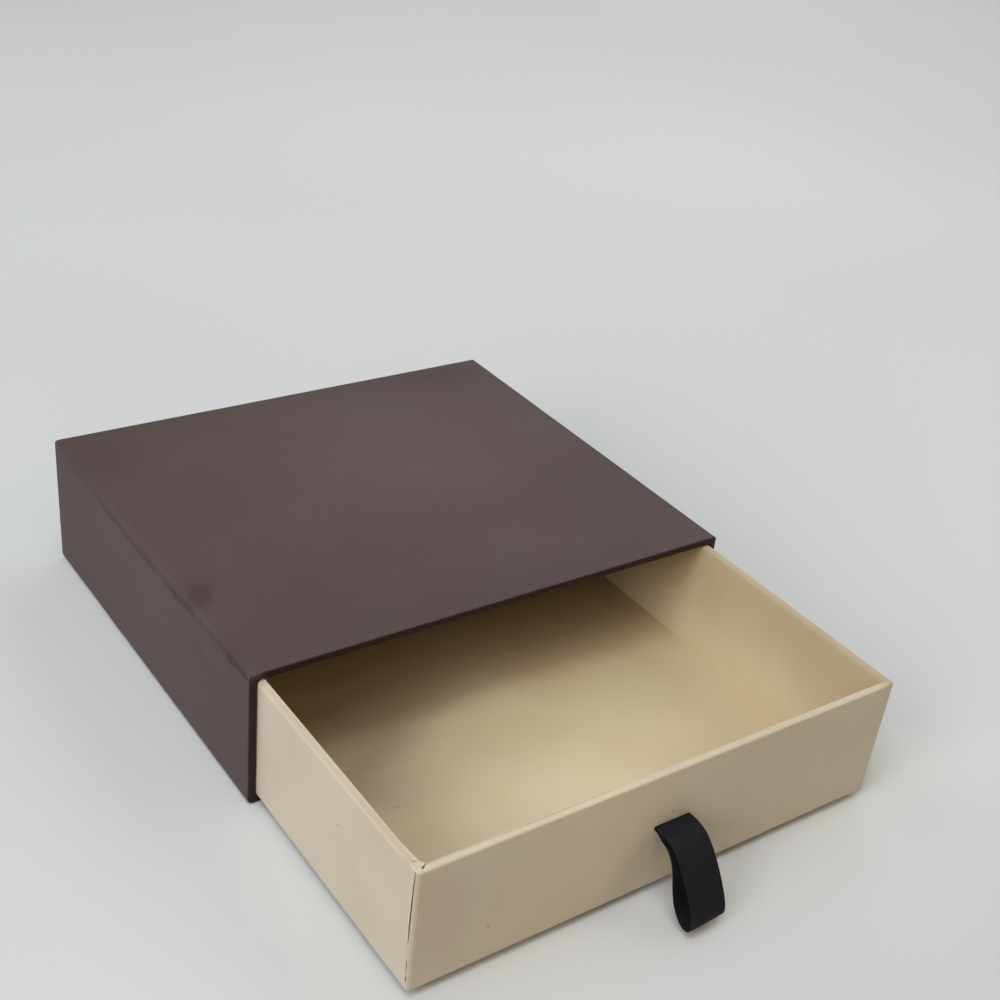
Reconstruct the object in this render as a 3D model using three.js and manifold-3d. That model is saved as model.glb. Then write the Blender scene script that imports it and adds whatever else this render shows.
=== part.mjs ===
// A wallet box: a dark paper-covered board sleeve, closed at the back, and a cream tray that
// slides out of its mouth on a black ribbon pull.
//
// Millimetres, +Z up, X across the mouth, the tray leaves towards -Y. The origin is the middle of
// the sleeve's underside. The tray stands part-way out, with the pull hanging free.

import * as THREE from "three";
import { mergeVertices } from "three/addons/utils/BufferGeometryUtils.js";
import Module from "manifold-3d";

const wasm = await Module();
wasm.setup();

// Driving dimensions of the sleeve
const sleeveWidth = 146;
const sleeveDepth = 126;
const sleeveHeight = 40;
const sleeveBoard = 1.5;
const sleeveEdgeRadius = 1;
const sleeveBaseRadius = 1.5;
const sleeveFoldRadius = 0.5;
const mouthTurnIn = 15;
const flapWidth = 12;

// Papers, glued face to face on the boards
const coverPaper = 0.25;
const closingSheet = 0.2;
const closingSheetInset = 1.5;
const liningPaper = 0.2;
const stayTape = 0.12;
const stayWidth = 12;

// Driving dimensions of the tray, which takes its outer size from the sleeve's inside
const trayBoard = 1.5;
const trayCornerRadius = 1.4;
const trayFoldRadius = 0.5;
const sideClearance = 0.35;
const runningGap = 0.3;
const topClearance = 0.3;
const backClearance = 0.5;
const pulledOut = 71.5;
const rimReveal = 0.8;
const floorSheetGap = 0.3;

// Driving dimensions of the ribbon pull
const ribbonWidth = 10;
const ribbonThickness = 0.4;
const slitDrop = 16.45;
const slitWidth = 11;
const slitHeight = 1.6;
const eyeRadius = 0.35;
const eyeOffset = 0.9;
const loopReach = 16.8;
const loopDrop = 19.1;
const tailLength = 9;
const tailClearance = 0.3;

// How finely round shapes are cut
const edgeFacets = 6;
const eyeFacets = 8;
const loopSteps = 64;
const cutOverrun = 1;

// The loop's middle line past its eye, from the strand that leaves the slit on top, round the
// bottom and back: each point is a share of the loop's reach and a share of its drop.
const loopShares = [
  [0.2, 0.005],
  [0.36, 0.06],
  [0.51, 0.155],
  [0.64, 0.285],
  [0.755, 0.425],
  [0.87, 0.575],
  [0.96, 0.73],
  [1, 0.855],
  [0.975, 0.95],
  [0.87, 1],
  [0.76, 0.975],
  [0.67, 0.9],
  [0.58, 0.79],
  [0.515, 0.66],
  [0.465, 0.52],
  [0.425, 0.385],
  [0.385, 0.27],
  [0.31, 0.18],
  [0.22, 0.115],
  [0.13, 0.08],
];

// Sleeve, from the outside in
const sleeveSide = sleeveWidth / 2;
const mouthY = -sleeveDepth / 2;
const backY = sleeveDepth / 2;
const coverBackY = backY - closingSheet;
const coverBaseZ = closingSheet;
const boardRadius = {
  top: sleeveEdgeRadius - coverPaper,
  base: sleeveBaseRadius - coverPaper,
};
const boards = {
  side: sleeveSide - coverPaper,
  front: mouthY + coverPaper,
  back: coverBackY - coverPaper,
  base: coverBaseZ + coverPaper,
  top: sleeveHeight - coverPaper,
};
const room = {
  side: boards.side - sleeveBoard,
  back: boards.back - sleeveBoard,
  base: boards.base + sleeveBoard,
  top: boards.top - sleeveBoard,
};
const turnInBackY = mouthY + mouthTurnIn;
const mouth = {
  side: room.side - coverPaper,
  base: room.base + coverPaper,
  top: room.top - coverPaper,
};

// Tray, from the outside in
const tray = {
  side: mouth.side - sideClearance,
  front: mouthY - pulledOut,
  back: room.back - liningPaper - backClearance - pulledOut,
  base: mouth.base + runningGap,
  top: mouth.top - topClearance,
};
const trayBoardRadius = trayCornerRadius - coverPaper;
const core = {
  side: tray.side - coverPaper,
  front: tray.front + coverPaper,
  back: tray.back - coverPaper,
  base: tray.base + coverPaper,
  floor: tray.base + coverPaper + trayBoard,
  top: tray.top - coverPaper,
};
const well = {
  side: core.side - trayBoard - coverPaper,
  front: core.front + trayBoard + coverPaper,
  back: core.back - trayBoard - coverPaper,
};
const slitZ = tray.top - slitDrop;

// Colours and surfaces
const greyboard = { color: 0x9a9284, roughness: 0.9 };
const brownPaper = { color: 0x62564f, roughness: 0.62 };
const creamPaper = { color: 0xc9b995, roughness: 0.7 };
const kraftTape = { color: 0xb08d5f, roughness: 0.75 };
const blackSatin = { color: 0x1e1e22, roughness: 0.4 };

// Turns a plane outline into a prism along one axis. The two ends are set to their exact places,
// so that neighbours which share a plane share its coordinate to the last digit.
function prism(outline, axis, from, to) {
  const geometry = new THREE.ExtrudeGeometry(outline, { depth: 1, bevelEnabled: false });
  const position = geometry.getAttribute("position");
  for (let i = 0; i < position.count; i += 1) {
    const u = position.getX(i);
    const v = position.getY(i);
    const along = position.getZ(i) > 0 ? to : from;
    if (axis === "x") position.setXYZ(i, along, u, v);
    if (axis === "y") position.setXYZ(i, u, along, v);
    if (axis === "z") position.setXYZ(i, u, v, along);
  }
  return solidFrom(geometry, axis === "y");
}

// A closed mesh as a solid that can be joined and cut. An outline in X and Z drawn along Y comes
// out mirrored, so its triangles are turned round.
function solidFrom(geometry, mirrored = false) {
  const bare = geometry.clone();
  bare.deleteAttribute("normal");
  bare.deleteAttribute("uv");
  const merged = mergeVertices(bare);
  const triVerts = new Uint32Array(merged.index.array);
  if (mirrored) triVerts.reverse();
  const vertProperties = merged.getAttribute("position").array;
  return new wasm.Manifold(new wasm.Mesh({ numProp: 3, vertProperties, triVerts }));
}

// A solid block between two corners
function block([x0, y0, z0], [x1, y1, z1]) {
  return prism(new THREE.Shape(rectangle(x0, x1, y0, y1)), "z", z0, z1);
}

// The corners of a rectangle, each rounded by its own radius: low-low, high-low, high-high and
// low-high, anticlockwise. A radius of zero leaves the corner sharp.
function rectangle(u0, u1, v0, v1, radii = [0, 0, 0, 0]) {
  const corners = [
    [u0, v0, 1, 1],
    [u1, v0, -1, 1],
    [u1, v1, -1, -1],
    [u0, v1, 1, -1],
  ];
  return corners.flatMap(([u, v, inwardU, inwardV], turn) => {
    const radius = radii[turn];
    if (radius === 0) return [new THREE.Vector2(u, v)];
    const start = Math.PI + (turn * Math.PI) / 2;
    return arc(u + inwardU * radius, v + inwardV * radius, radius, start, start + Math.PI / 2);
  });
}

// Points round part of a circle
function arc(u, v, radius, start, end, facets = edgeFacets) {
  return Array.from({ length: facets + 1 }, (_, i) => {
    const angle = start + ((end - start) * i) / facets;
    return new THREE.Vector2(u + radius * Math.cos(angle), v + radius * Math.sin(angle));
  });
}

// An angled tape round one rounded corner of the boards. It is drawn for a corner that points to
// high U and high V, then turned to the real one by the signs of reachU and reachV.
function stayOutline(cornerU, cornerV, reachU, reachV, radius) {
  const outer = arc(-radius, -radius, radius + stayTape, 0, Math.PI / 2);
  const inner = arc(-radius, -radius, radius, Math.PI / 2, 0);
  const points = [
    new THREE.Vector2(stayTape, -stayWidth),
    ...outer,
    new THREE.Vector2(-stayWidth, stayTape),
    new THREE.Vector2(-stayWidth, 0),
    ...inner,
    new THREE.Vector2(0, -stayWidth),
  ];
  const turned = ({ x, y }) => new THREE.Vector2(cornerU + reachU * x, cornerV + reachV * y);
  return new THREE.Shape(points.map(turned));
}

const group = new THREE.Group();

// Puts a solid into the model as a named mesh with its own material
function place(name, solid, surface) {
  const { vertProperties, triVerts } = solid.getMesh();
  const geometry = new THREE.BufferGeometry();
  geometry.setAttribute("position", new THREE.BufferAttribute(vertProperties, 3));
  geometry.setIndex(new THREE.BufferAttribute(triVerts, 1));
  const flat = geometry.toNonIndexed();
  flat.computeVertexNormals();
  const mesh = new THREE.Mesh(flat, new THREE.MeshStandardMaterial({ metalness: 0, ...surface }));
  mesh.name = name;
  group.add(mesh);
  return solid;
}

const cut = (solid, tools) => tools.reduce((left, tool) => left.subtract(tool), solid);

// Sleeve boards: top and base run the full width, the sides stand between them, and the back
// stands inside all four.
function sleeveBoards() {
  const { side, front, back, base, top } = boards;
  const upper = boardRadius.top;
  const lower = boardRadius.base;
  const topOutline = new THREE.Shape(rectangle(-side, side, room.top, top, [0, 0, upper, upper]));
  const baseOutline = new THREE.Shape(rectangle(-side, side, base, room.base, [lower, lower, 0, 0]));
  const sideBoard = (x0, x1) => block([x0, front, room.base], [x1, back, room.top]);
  return {
    sleeve_top_board: prism(topOutline, "y", front, back),
    sleeve_base_board: prism(baseOutline, "y", front, back),
    sleeve_left_board: sideBoard(-side, -room.side),
    sleeve_right_board: sideBoard(room.side, side),
    sleeve_back_board: block([-room.side, room.back, room.base], [room.side, back, room.top]),
  };
}

// Tapes that hold the sleeve's long edges, let into the cover paper's inner face
function sleeveStays() {
  const edges = {
    sleeve_stay_top_left: [-1, 1],
    sleeve_stay_top_right: [1, 1],
    sleeve_stay_base_left: [-1, -1],
    sleeve_stay_base_right: [1, -1],
  };
  const solids = {};
  for (const [name, [reachX, reachZ]] of Object.entries(edges)) {
    const edge = reachZ > 0 ? "top" : "base";
    const outline = stayOutline(reachX * boards.side, boards[edge], reachX, reachZ, boardRadius[edge]);
    solids[name] = prism(outline, "y", boards.front, boards.back);
  }
  return solids;
}

// The sleeve's outside before anything is taken out of it: round along the long edges, more so
// along the base, and a little round where the paper folds over the mouth and the back
function sleeveEnvelope() {
  const long = [sleeveBaseRadius, sleeveBaseRadius, sleeveEdgeRadius, sleeveEdgeRadius];
  const fold = Array(4).fill(sleeveFoldRadius);
  const across = rectangle(-sleeveSide, sleeveSide, coverBaseZ, sleeveHeight, long);
  const plan = rectangle(-sleeveSide, sleeveSide, mouthY, coverBackY, fold);
  const profile = rectangle(mouthY, coverBackY, coverBaseZ, sleeveHeight, fold);
  return prism(new THREE.Shape(across), "y", mouthY, coverBackY)
    .intersect(prism(new THREE.Shape(plan), "z", coverBaseZ, sleeveHeight))
    .intersect(prism(new THREE.Shape(profile), "x", -sleeveSide, sleeveSide));
}

// One sheet of paper wrapped round the boards, folded over the mouth's edge and down inside it,
// with flaps on the underside and the back
function sleeveCover(boardSolids, staySolids) {
  const flapSide = sleeveSide - flapWidth;
  const mouthRoom = block(
    [-mouth.side, mouthY - cutOverrun, mouth.base],
    [mouth.side, turnInBackY, mouth.top],
  );
  const deepRoom = block([-room.side, turnInBackY, room.base], [room.side, room.back, room.top]);
  const underside = block(
    [-flapSide, mouthY + flapWidth, coverBaseZ - cutOverrun],
    [flapSide, coverBackY - flapWidth, boards.base],
  );
  const backside = block(
    [-flapSide, boards.back, coverBaseZ + flapWidth],
    [flapSide, coverBackY + cutOverrun, sleeveHeight - flapWidth],
  );
  const tools = [...boardSolids, ...staySolids, mouthRoom, deepRoom, underside, backside];
  return cut(sleeveEnvelope(), tools);
}

// The sheets that close the underside and the back, a little smaller than the face they lie on
function sleeveBaseSheet() {
  const side = sleeveSide - closingSheetInset;
  return block(
    [-side, mouthY + closingSheetInset, 0],
    [side, coverBackY - closingSheetInset, closingSheet],
  );
}

function sleeveBackSheet() {
  const side = sleeveSide - closingSheetInset;
  return block(
    [-side, coverBackY, coverBaseZ + closingSheetInset],
    [side, backY, sleeveHeight - closingSheetInset],
  );
}

// The lining behind the turned-in edge: four walls and the back, open to the mouth
function sleeveLining() {
  const outside = block([-room.side, turnInBackY, room.base], [room.side, room.back, room.top]);
  const side = room.side - liningPaper;
  const inside = block(
    [-side, turnInBackY - cutOverrun, room.base + liningPaper],
    [side, room.back - liningPaper, room.top - liningPaper],
  );
  return outside.subtract(inside);
}

// Tray boards: the base carries four walls, the front and back run the full width, and the front
// has the ribbon's slit.
function trayBoards() {
  const { side, front, back, base, floor, top } = core;
  const round = trayBoardRadius;
  const innerFront = front + trayBoard;
  const innerBack = back - trayBoard;
  const baseOutline = rectangle(-side, side, front, back, Array(4).fill(round));
  const frontOutline = rectangle(-side, side, front, innerFront, [round, round, 0, 0]);
  const backOutline = rectangle(-side, side, innerBack, back, [0, 0, round, round]);
  const wall = (outline) => prism(new THREE.Shape(outline), "z", floor, top);
  const sideWall = (x0, x1) => block([x0, innerFront, floor], [x1, innerBack, top]);
  return {
    tray_base_board: prism(new THREE.Shape(baseOutline), "z", base, floor),
    tray_front_board: wall(frontOutline).subtract(slit()),
    tray_back_board: wall(backOutline),
    tray_left_board: sideWall(-side, -side + trayBoard),
    tray_right_board: sideWall(side - trayBoard, side),
  };
}

// The slit through the front wall that the ribbon's two strands pass
function slit() {
  return block(
    [-slitWidth / 2, tray.front - cutOverrun, slitZ - slitHeight / 2],
    [slitWidth / 2, well.front + cutOverrun, slitZ + slitHeight / 2],
  );
}

// Tapes round the tray's upright corners
function trayStays() {
  const corners = {
    tray_stay_front_left: [-1, -1],
    tray_stay_front_right: [1, -1],
    tray_stay_back_left: [-1, 1],
    tray_stay_back_right: [1, 1],
  };
  const solids = {};
  for (const [name, [reachX, reachY]] of Object.entries(corners)) {
    const cornerY = reachY > 0 ? core.back : core.front;
    const outline = stayOutline(reachX * core.side, cornerY, reachX, reachY, trayBoardRadius);
    solids[name] = prism(outline, "z", core.base, core.top);
  }
  return solids;
}

// The tray's paper: the underside and four walls outside, over the rim and down inside to the
// base board
function trayCover(boardSolids, staySolids) {
  const corner = Array(4).fill(trayCornerRadius);
  const fold = Array(4).fill(trayFoldRadius);
  const plan = rectangle(-tray.side, tray.side, tray.front, tray.back, corner);
  const profile = rectangle(tray.front, tray.back, tray.base, tray.top, fold);
  const across = rectangle(-tray.side, tray.side, tray.base, tray.top, fold);
  const envelope = prism(new THREE.Shape(plan), "z", tray.base, tray.top)
    .intersect(prism(new THREE.Shape(profile), "x", -tray.side, tray.side))
    .intersect(prism(new THREE.Shape(across), "y", tray.front, tray.back));
  const inside = block(
    [-well.side, well.front, core.floor],
    [well.side, well.back, tray.top + cutOverrun],
  );
  return cut(envelope, [inside, ...boardSolids, ...staySolids, slit()]);
}

// The lining of the four walls, a little below the rim, with a low step in front where it goes
// over the ribbon's tails
function trayWallLining(tails) {
  const top = tray.top - rimReveal;
  const low = [-well.side, well.front, core.floor];
  const outside = block(low, [well.side, well.back, top]);
  const inside = block(
    [-well.side + liningPaper, well.front + liningPaper, core.floor - cutOverrun],
    [well.side - liningPaper, well.back - liningPaper, top + cutOverrun],
  );
  const reach = ribbonWidth / 2 + tailClearance + liningPaper;
  const height = tailLength + tailClearance + liningPaper;
  const step = block(
    [-reach, well.front, slitZ - height],
    [reach, well.front + ribbonThickness + liningPaper, slitZ + height],
  );
  return outside.subtract(inside).add(step).subtract(tails);
}

// The sheet on the tray's floor
function trayFloorLining() {
  const side = well.side - liningPaper - floorSheetGap;
  return block(
    [-side, well.front + liningPaper + ribbonThickness + floorSheetGap, core.floor],
    [side, well.back - liningPaper - floorSheetGap, core.floor + liningPaper],
  );
}

// The ribbon's fixed ends: both strands through the slit, then one up and one down, glued flat to
// the wall's inner face under the lining
function ribbonTails() {
  const stem = block(
    [-ribbonWidth / 2, tray.front, slitZ - ribbonThickness],
    [ribbonWidth / 2, well.front, slitZ + ribbonThickness],
  );
  const flange = block(
    [-ribbonWidth / 2, well.front, slitZ - tailLength],
    [ribbonWidth / 2, well.front + ribbonThickness, slitZ + tailLength],
  );
  return stem.add(flange);
}

// The loop outside the slit: one band of ribbon round a teardrop, closed by a small eye at the
// slit, about which it swings
function pullLoop() {
  const hingeY = tray.front - eyeOffset;
  const eye = arc(hingeY, slitZ, eyeRadius, -Math.PI / 2, Math.PI / 2, eyeFacets);
  const past = loopShares.map(([reachShare, dropShare]) => {
    const y = tray.front - reachShare * loopReach;
    return new THREE.Vector2(y, slitZ + eyeRadius - dropShare * (loopDrop + eyeRadius));
  });
  const spline = new THREE.CatmullRomCurve3(
    [eye.at(-1), ...past, eye[0]].map(({ x, y }) => new THREE.Vector3(x, y, 0)),
    false,
    "centripetal",
  );
  const drop = spline.getSpacedPoints(loopSteps).slice(1, -1);
  const line = [...eye, ...drop.map(({ x, y }) => new THREE.Vector2(x, y))];
  const outline = new THREE.Shape(offset(line, ribbonThickness / 2));
  outline.holes.push(new THREE.Path(offset(line, -ribbonThickness / 2).reverse()));
  return prism(outline, "x", -ribbonWidth / 2, ribbonWidth / 2);
}

// A closed anticlockwise line moved outwards by a distance, point by point
function offset(line, distance) {
  return line.map((point, i) => {
    const before = line[(i + line.length - 1) % line.length];
    const after = line[(i + 1) % line.length];
    const along = after.clone().sub(before).normalize();
    return new THREE.Vector2(point.x + along.y * distance, point.y - along.x * distance);
  });
}

function placeAll(solids, surface) {
  for (const [name, solid] of Object.entries(solids)) place(name, solid, surface);
  return Object.values(solids);
}

const sleeveBoardSolids = placeAll(sleeveBoards(), greyboard);
const sleeveStaySolids = placeAll(sleeveStays(), kraftTape);
place("sleeve_cover", sleeveCover(sleeveBoardSolids, sleeveStaySolids), brownPaper);
place("sleeve_base_sheet", sleeveBaseSheet(), brownPaper);
place("sleeve_back_sheet", sleeveBackSheet(), brownPaper);
place("sleeve_lining", sleeveLining(), brownPaper);

const trayBoardSolids = placeAll(trayBoards(), greyboard);
const trayStaySolids = placeAll(trayStays(), kraftTape);
const tails = place("ribbon_tails", ribbonTails(), blackSatin);
place("tray_cover", trayCover(trayBoardSolids, trayStaySolids), creamPaper);
place("tray_wall_lining", trayWallLining(tails), creamPaper);
place("tray_floor_lining", trayFloorLining(), creamPaper);
place("pull_loop", pullLoop(), blackSatin);

export default group;
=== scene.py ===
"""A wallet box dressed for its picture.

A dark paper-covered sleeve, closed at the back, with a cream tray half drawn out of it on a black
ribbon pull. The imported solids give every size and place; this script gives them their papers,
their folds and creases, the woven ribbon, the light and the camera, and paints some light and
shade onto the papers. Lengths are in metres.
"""

import logging
import math
from collections.abc import Callable, Iterator, Sequence
from contextlib import contextmanager
from dataclasses import dataclass, field
from enum import Enum
from typing import Any

import bmesh
import bpy
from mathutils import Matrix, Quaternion, Vector, noise


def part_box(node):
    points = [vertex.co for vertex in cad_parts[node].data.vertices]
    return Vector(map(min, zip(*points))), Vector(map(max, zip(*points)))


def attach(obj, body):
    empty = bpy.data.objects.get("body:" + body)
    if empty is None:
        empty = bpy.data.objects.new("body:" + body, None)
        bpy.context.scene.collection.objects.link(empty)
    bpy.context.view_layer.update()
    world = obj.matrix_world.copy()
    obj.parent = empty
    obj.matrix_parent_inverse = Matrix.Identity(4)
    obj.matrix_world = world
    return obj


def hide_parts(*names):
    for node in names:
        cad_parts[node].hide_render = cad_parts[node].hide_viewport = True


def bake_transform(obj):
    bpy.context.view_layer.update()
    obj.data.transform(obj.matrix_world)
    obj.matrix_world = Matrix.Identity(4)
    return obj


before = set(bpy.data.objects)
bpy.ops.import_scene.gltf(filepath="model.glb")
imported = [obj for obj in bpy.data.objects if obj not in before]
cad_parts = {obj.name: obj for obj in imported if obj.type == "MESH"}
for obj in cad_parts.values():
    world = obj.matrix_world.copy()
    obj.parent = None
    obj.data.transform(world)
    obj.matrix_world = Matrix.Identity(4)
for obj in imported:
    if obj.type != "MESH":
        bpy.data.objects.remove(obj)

log = logging.getLogger("wallet_box")

MM = 0.001
TOUCH = 0.01 * MM  # places nearer to each other than this count as one


class Kind(Enum):
    """The three sorts of thing that a hand tool can work on."""

    VERTS = "VERT"
    EDGES = "EDGE"
    FACES = "FACE"


class Axis(Enum):
    """The part's own directions: across the mouth, along the travel, and up."""

    X = 0
    Y = 1
    Z = 2

    def unit(self) -> Vector:
        """Returns the axis as a unit vector."""
        return Vector([float(i == self.value) for i in range(3)])


class Body(Enum):
    """The bodies that the pieces ride on."""

    SLEEVE = "sleeve"
    TRAY = "tray"
    PULL = "pull_loop"


class Slot(Enum):
    """The record's material slots."""

    GREYBOARD = "greyboard"
    TAPE = "stay_tape"
    BROWN = "brown_paper"
    CREAM = "cream_paper"
    SATIN = "black_satin"


def srgb(red: float, green: float, blue: float) -> tuple[float, float, float, float]:
    """Turns a colour as a screen shows it into the shader's linear colour.

    Args:
        red: Red, 0 to 255.
        green: Green, 0 to 255.
        blue: Blue, 0 to 255.

    Returns:
        The linear colour with full alpha.
    """
    def linear(value: float) -> float:
        """Turns one of the three values."""
        share = value / 255
        return share / 12.92 if share <= 0.04045 else ((share + 0.055) / 1.055) ** 2.4

    return linear(red), linear(green), linear(blue), 1.0


def ease(value: float, low: float, high: float) -> float:
    """Rises smoothly from 0 at low to 1 at high.

    Args:
        value: Where to read the curve.
        low: The value at which it leaves 0.
        high: The value at which it reaches 1.

    Returns:
        A share from 0 to 1.
    """
    share = min(max((value - low) / (high - low), 0.0), 1.0)
    return share * share * (3 - 2 * share)


def bell(distance: float, width: float) -> float:
    """Falls from 1 at no distance to 0 at the given width and beyond."""
    return 1 - ease(abs(distance), 0, width)


def ripple(place: Sequence[float], length: float, seed: float = 0.0) -> float:
    """Smooth, repeatable unevenness.

    Args:
        place: The point to read.
        length: The wave length of the unevenness.
        seed: Moves the pattern, so that two readings differ.

    Returns:
        A value from about -1 to 1.
    """
    return noise.noise(Vector(place) / length + Vector((seed, 1.7 * seed, 0.3 * seed)))


def read_along(rows: Sequence[Sequence[float]], at: float) -> list[float]:
    """Reads values between the rows of a short table, smoothly.

    Args:
        rows: Rows that start with a rising place, followed by the values there.
        at: The place to read.

    Returns:
        The values at the place.
    """
    at = min(max(at, rows[0][0]), rows[-1][0])
    for here, there in zip(rows, rows[1:]):
        if at <= there[0]:
            share = ease(at, here[0], there[0])
            return [a + (b - a) * share for a, b in zip(here[1:], there[1:])]
    return list(rows[-1][1:])


def from_stroke(place: Vector, start: Vector, end: Vector) -> tuple[float, float]:
    """Measures a point against a straight stroke, seen from above.

    Args:
        place: The point.
        start: The stroke's start.
        end: The stroke's end.

    Returns:
        How far the point is from the stroke, and the share of the stroke's length that it is at.
    """
    along, out = (end - start).to_2d(), (place - start).to_2d()
    share = min(max(along.dot(out) / along.length_squared, 0.0), 1.0)
    return (out - along * share).length, share


class Bench:
    """One mesh, shaped with the hand tools of edit mode."""

    def __init__(self, piece: bpy.types.Object) -> None:
        """Takes a mesh object onto the bench."""
        self.piece = piece
        self.outer_count = 0

    @staticmethod
    def clear() -> None:
        """Deselects everything in the scene."""
        bpy.ops.object.select_all(action="DESELECT")

    @classmethod
    def block(cls, name: str, low: Vector, high: Vector) -> "Bench":
        """Starts a piece from a block between two corners.

        Args:
            name: The piece's name.
            low: Its lowest corner.
            high: Its highest corner.

        Returns:
            The bench with the piece on it.
        """
        cls.clear()
        bpy.ops.mesh.primitive_cube_add(size=1, location=(low + high) / 2)
        return cls._settled(name, high - low)

    @classmethod
    def plate(cls, name: str, low: Vector, high: Vector) -> "Bench":
        """Starts a piece from a flat sheet that faces up.

        Args:
            name: The piece's name.
            low: Its lowest corner.
            high: Its highest corner, at the same height.

        Returns:
            The bench with the piece on it.
        """
        cls.clear()
        bpy.ops.mesh.primitive_plane_add(size=1, location=(low + high) / 2)
        return cls._settled(name, high - low)

    @classmethod
    def _settled(cls, name: str, extent: Vector) -> "Bench":
        """Names the new primitive and puts its place and size into its mesh.

        Args:
            name: The piece's name.
            extent: The size that the primitive takes.

        Returns:
            The bench with the piece on it.
        """
        piece = bpy.context.active_object
        piece.name = name
        piece.data.name = name
        piece.scale = [side or 1.0 for side in extent]
        bpy.ops.object.transform_apply(location=True, rotation=True, scale=True)
        return cls(piece)

    @contextmanager
    def open(self) -> Iterator["Bench"]:
        """Opens the piece in edit mode for as long as the block runs.

        Yields:
            The bench, for the tools that work in edit mode.
        """
        self.clear()
        self.piece.select_set(True)
        bpy.context.view_layer.objects.active = self.piece
        bpy.ops.object.mode_set(mode="EDIT")
        yield self
        bpy.ops.object.mode_set(mode="OBJECT")

    def pick(self, kind: Kind, test: Callable[[Any], bool]) -> "Bench":
        """Selects what passes a test, and nothing else.

        Args:
            kind: Points, edges or faces.
            test: Says whether one of them is wanted.

        Returns:
            The bench, for the tool that follows.
        """
        bpy.ops.mesh.select_mode(type=kind.value)
        bpy.ops.mesh.select_all(action="DESELECT")
        mesh = bmesh.from_edit_mesh(self.piece.data)
        for part in getattr(mesh, kind.name.lower()):
            if test(part):
                part.select_set(True)
        bmesh.update_edit_mesh(self.piece.data)
        return self

    def faces(self, test: Callable[[Vector, Vector], bool]) -> "Bench":
        """Selects faces by their middle and normal."""
        return self.pick(Kind.FACES, lambda face: test(face.calc_center_median(), face.normal))

    def edges(self, test: Callable[[Vector, Vector], bool]) -> "Bench":
        """Selects edges by their two ends."""
        return self.pick(Kind.EDGES, lambda edge: test(edge.verts[0].co, edge.verts[1].co))

    def fold(self, axis: Axis, place: float, middle: Vector, outer: bool) -> "Bench":
        """Selects the edges of a fold, where a flat border square to an axis meets the walls.

        Args:
            axis: The axis.
            place: Where the border lies on it.
            middle: The middle of the piece.
            outer: Whether to take the border's outer edges, or else its inner ones.

        Returns:
            The bench, for the tool that follows.
        """
        def test(edge: Any) -> bool:
            """Says whether an edge belongs to the fold.

            Args:
                edge: The edge.

            Returns:
                Whether it does.
            """
            if any(abs(point.co[axis.value] - place) > TOUCH for point in edge.verts):
                return False
            flat = [abs(face.normal[axis.value]) > 0.9 for face in edge.link_faces]
            if len(flat) != 2 or flat[0] == flat[1]:
                return False
            wall_face = edge.link_faces[flat.index(False)]
            out = (edge.verts[0].co + edge.verts[1].co) / 2 - middle
            out[axis.value] = 0
            return (out.dot(wall_face.normal) > 0) == outer

        return self.pick(Kind.EDGES, test)

    def inset(self, width: float) -> "Bench":
        """Draws a border of one width inside the selected face."""
        bpy.ops.mesh.inset(thickness=width, depth=0, use_even_offset=True)
        return self

    def extrude(self, move: Sequence[float]) -> "Bench":
        """Pulls the selection out by a move, with new walls behind it."""
        bpy.ops.mesh.extrude_region_move(TRANSFORM_OT_translate={"value": tuple(move)})
        return self

    def remove(self) -> "Bench":
        """Deletes the selected faces."""
        bpy.ops.mesh.delete(type=Kind.FACES.value)
        return self

    def round(self, radius: float, facets: int) -> "Bench":
        """Rounds the selected edges.

        Args:
            radius: The radius.
            facets: How many facets the rounding has.

        Returns:
            The bench, for the tool that follows.
        """
        bpy.ops.mesh.bevel(
            offset=radius, offset_type="OFFSET", segments=facets, profile=0.5,
            affect="EDGES", clamp_overlap=False,
        )
        return self

    def slice(
        self,
        axis: Axis,
        places: Sequence[float],
        within: Callable[[Vector], bool] = lambda middle: True,
    ) -> "Bench":
        """Cuts lines across the faces at places along an axis.

        Args:
            axis: The axis that the cuts are square to.
            places: Where the cuts are.
            within: Says whether a face is cut, by its middle.

        Returns:
            The bench.
        """
        for place in places:
            self.faces(lambda middle, normal: within(middle))
            bpy.ops.mesh.bisect(
                plane_co=axis.unit() * place, plane_no=axis.unit(), threshold=0.001 * MM
            )
        return self

    def thicken(self, thickness: float, offset: float = -1.0) -> "Bench":
        """Gives the sheet a thickness, behind its face unless told otherwise.

        Args:
            thickness: The thickness.
            offset: -1 puts it all behind the face, and 0 half on either side.

        Returns:
            The bench, which keeps count of the face's points.
        """
        self.outer_count = len(self.piece.data.vertices)
        self.apply("SOLIDIFY", thickness=thickness, offset=offset, use_even_offset=True)
        return self

    def apply(self, kind: str, **settings: Any) -> "Bench":
        """Adds a modifier and applies it.

        Args:
            kind: The modifier's type.
            **settings: Its values.

        Returns:
            The bench.
        """
        self.clear()
        self.piece.select_set(True)
        bpy.context.view_layer.objects.active = self.piece
        modifier = self.piece.modifiers.new(kind.lower(), kind)
        for name, value in settings.items():
            setattr(modifier, name, value)
        bpy.ops.object.modifier_apply(modifier=modifier.name)
        return self

    def press(self, move: Callable[[Vector, Vector], Vector]) -> "Bench":
        """Moves the points of the sheet's face one by one.

        Args:
            move: Gives a point's move from its place and its normal.

        Returns:
            The bench.
        """
        mesh = self.piece.data
        count = self.outer_count or len(mesh.vertices)
        moves = [move(point.co.copy(), point.normal.copy()) for point in mesh.vertices[:count]]
        for point, step in zip(mesh.vertices[:count], moves):
            point.co += step
        mesh.update()
        return self

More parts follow.
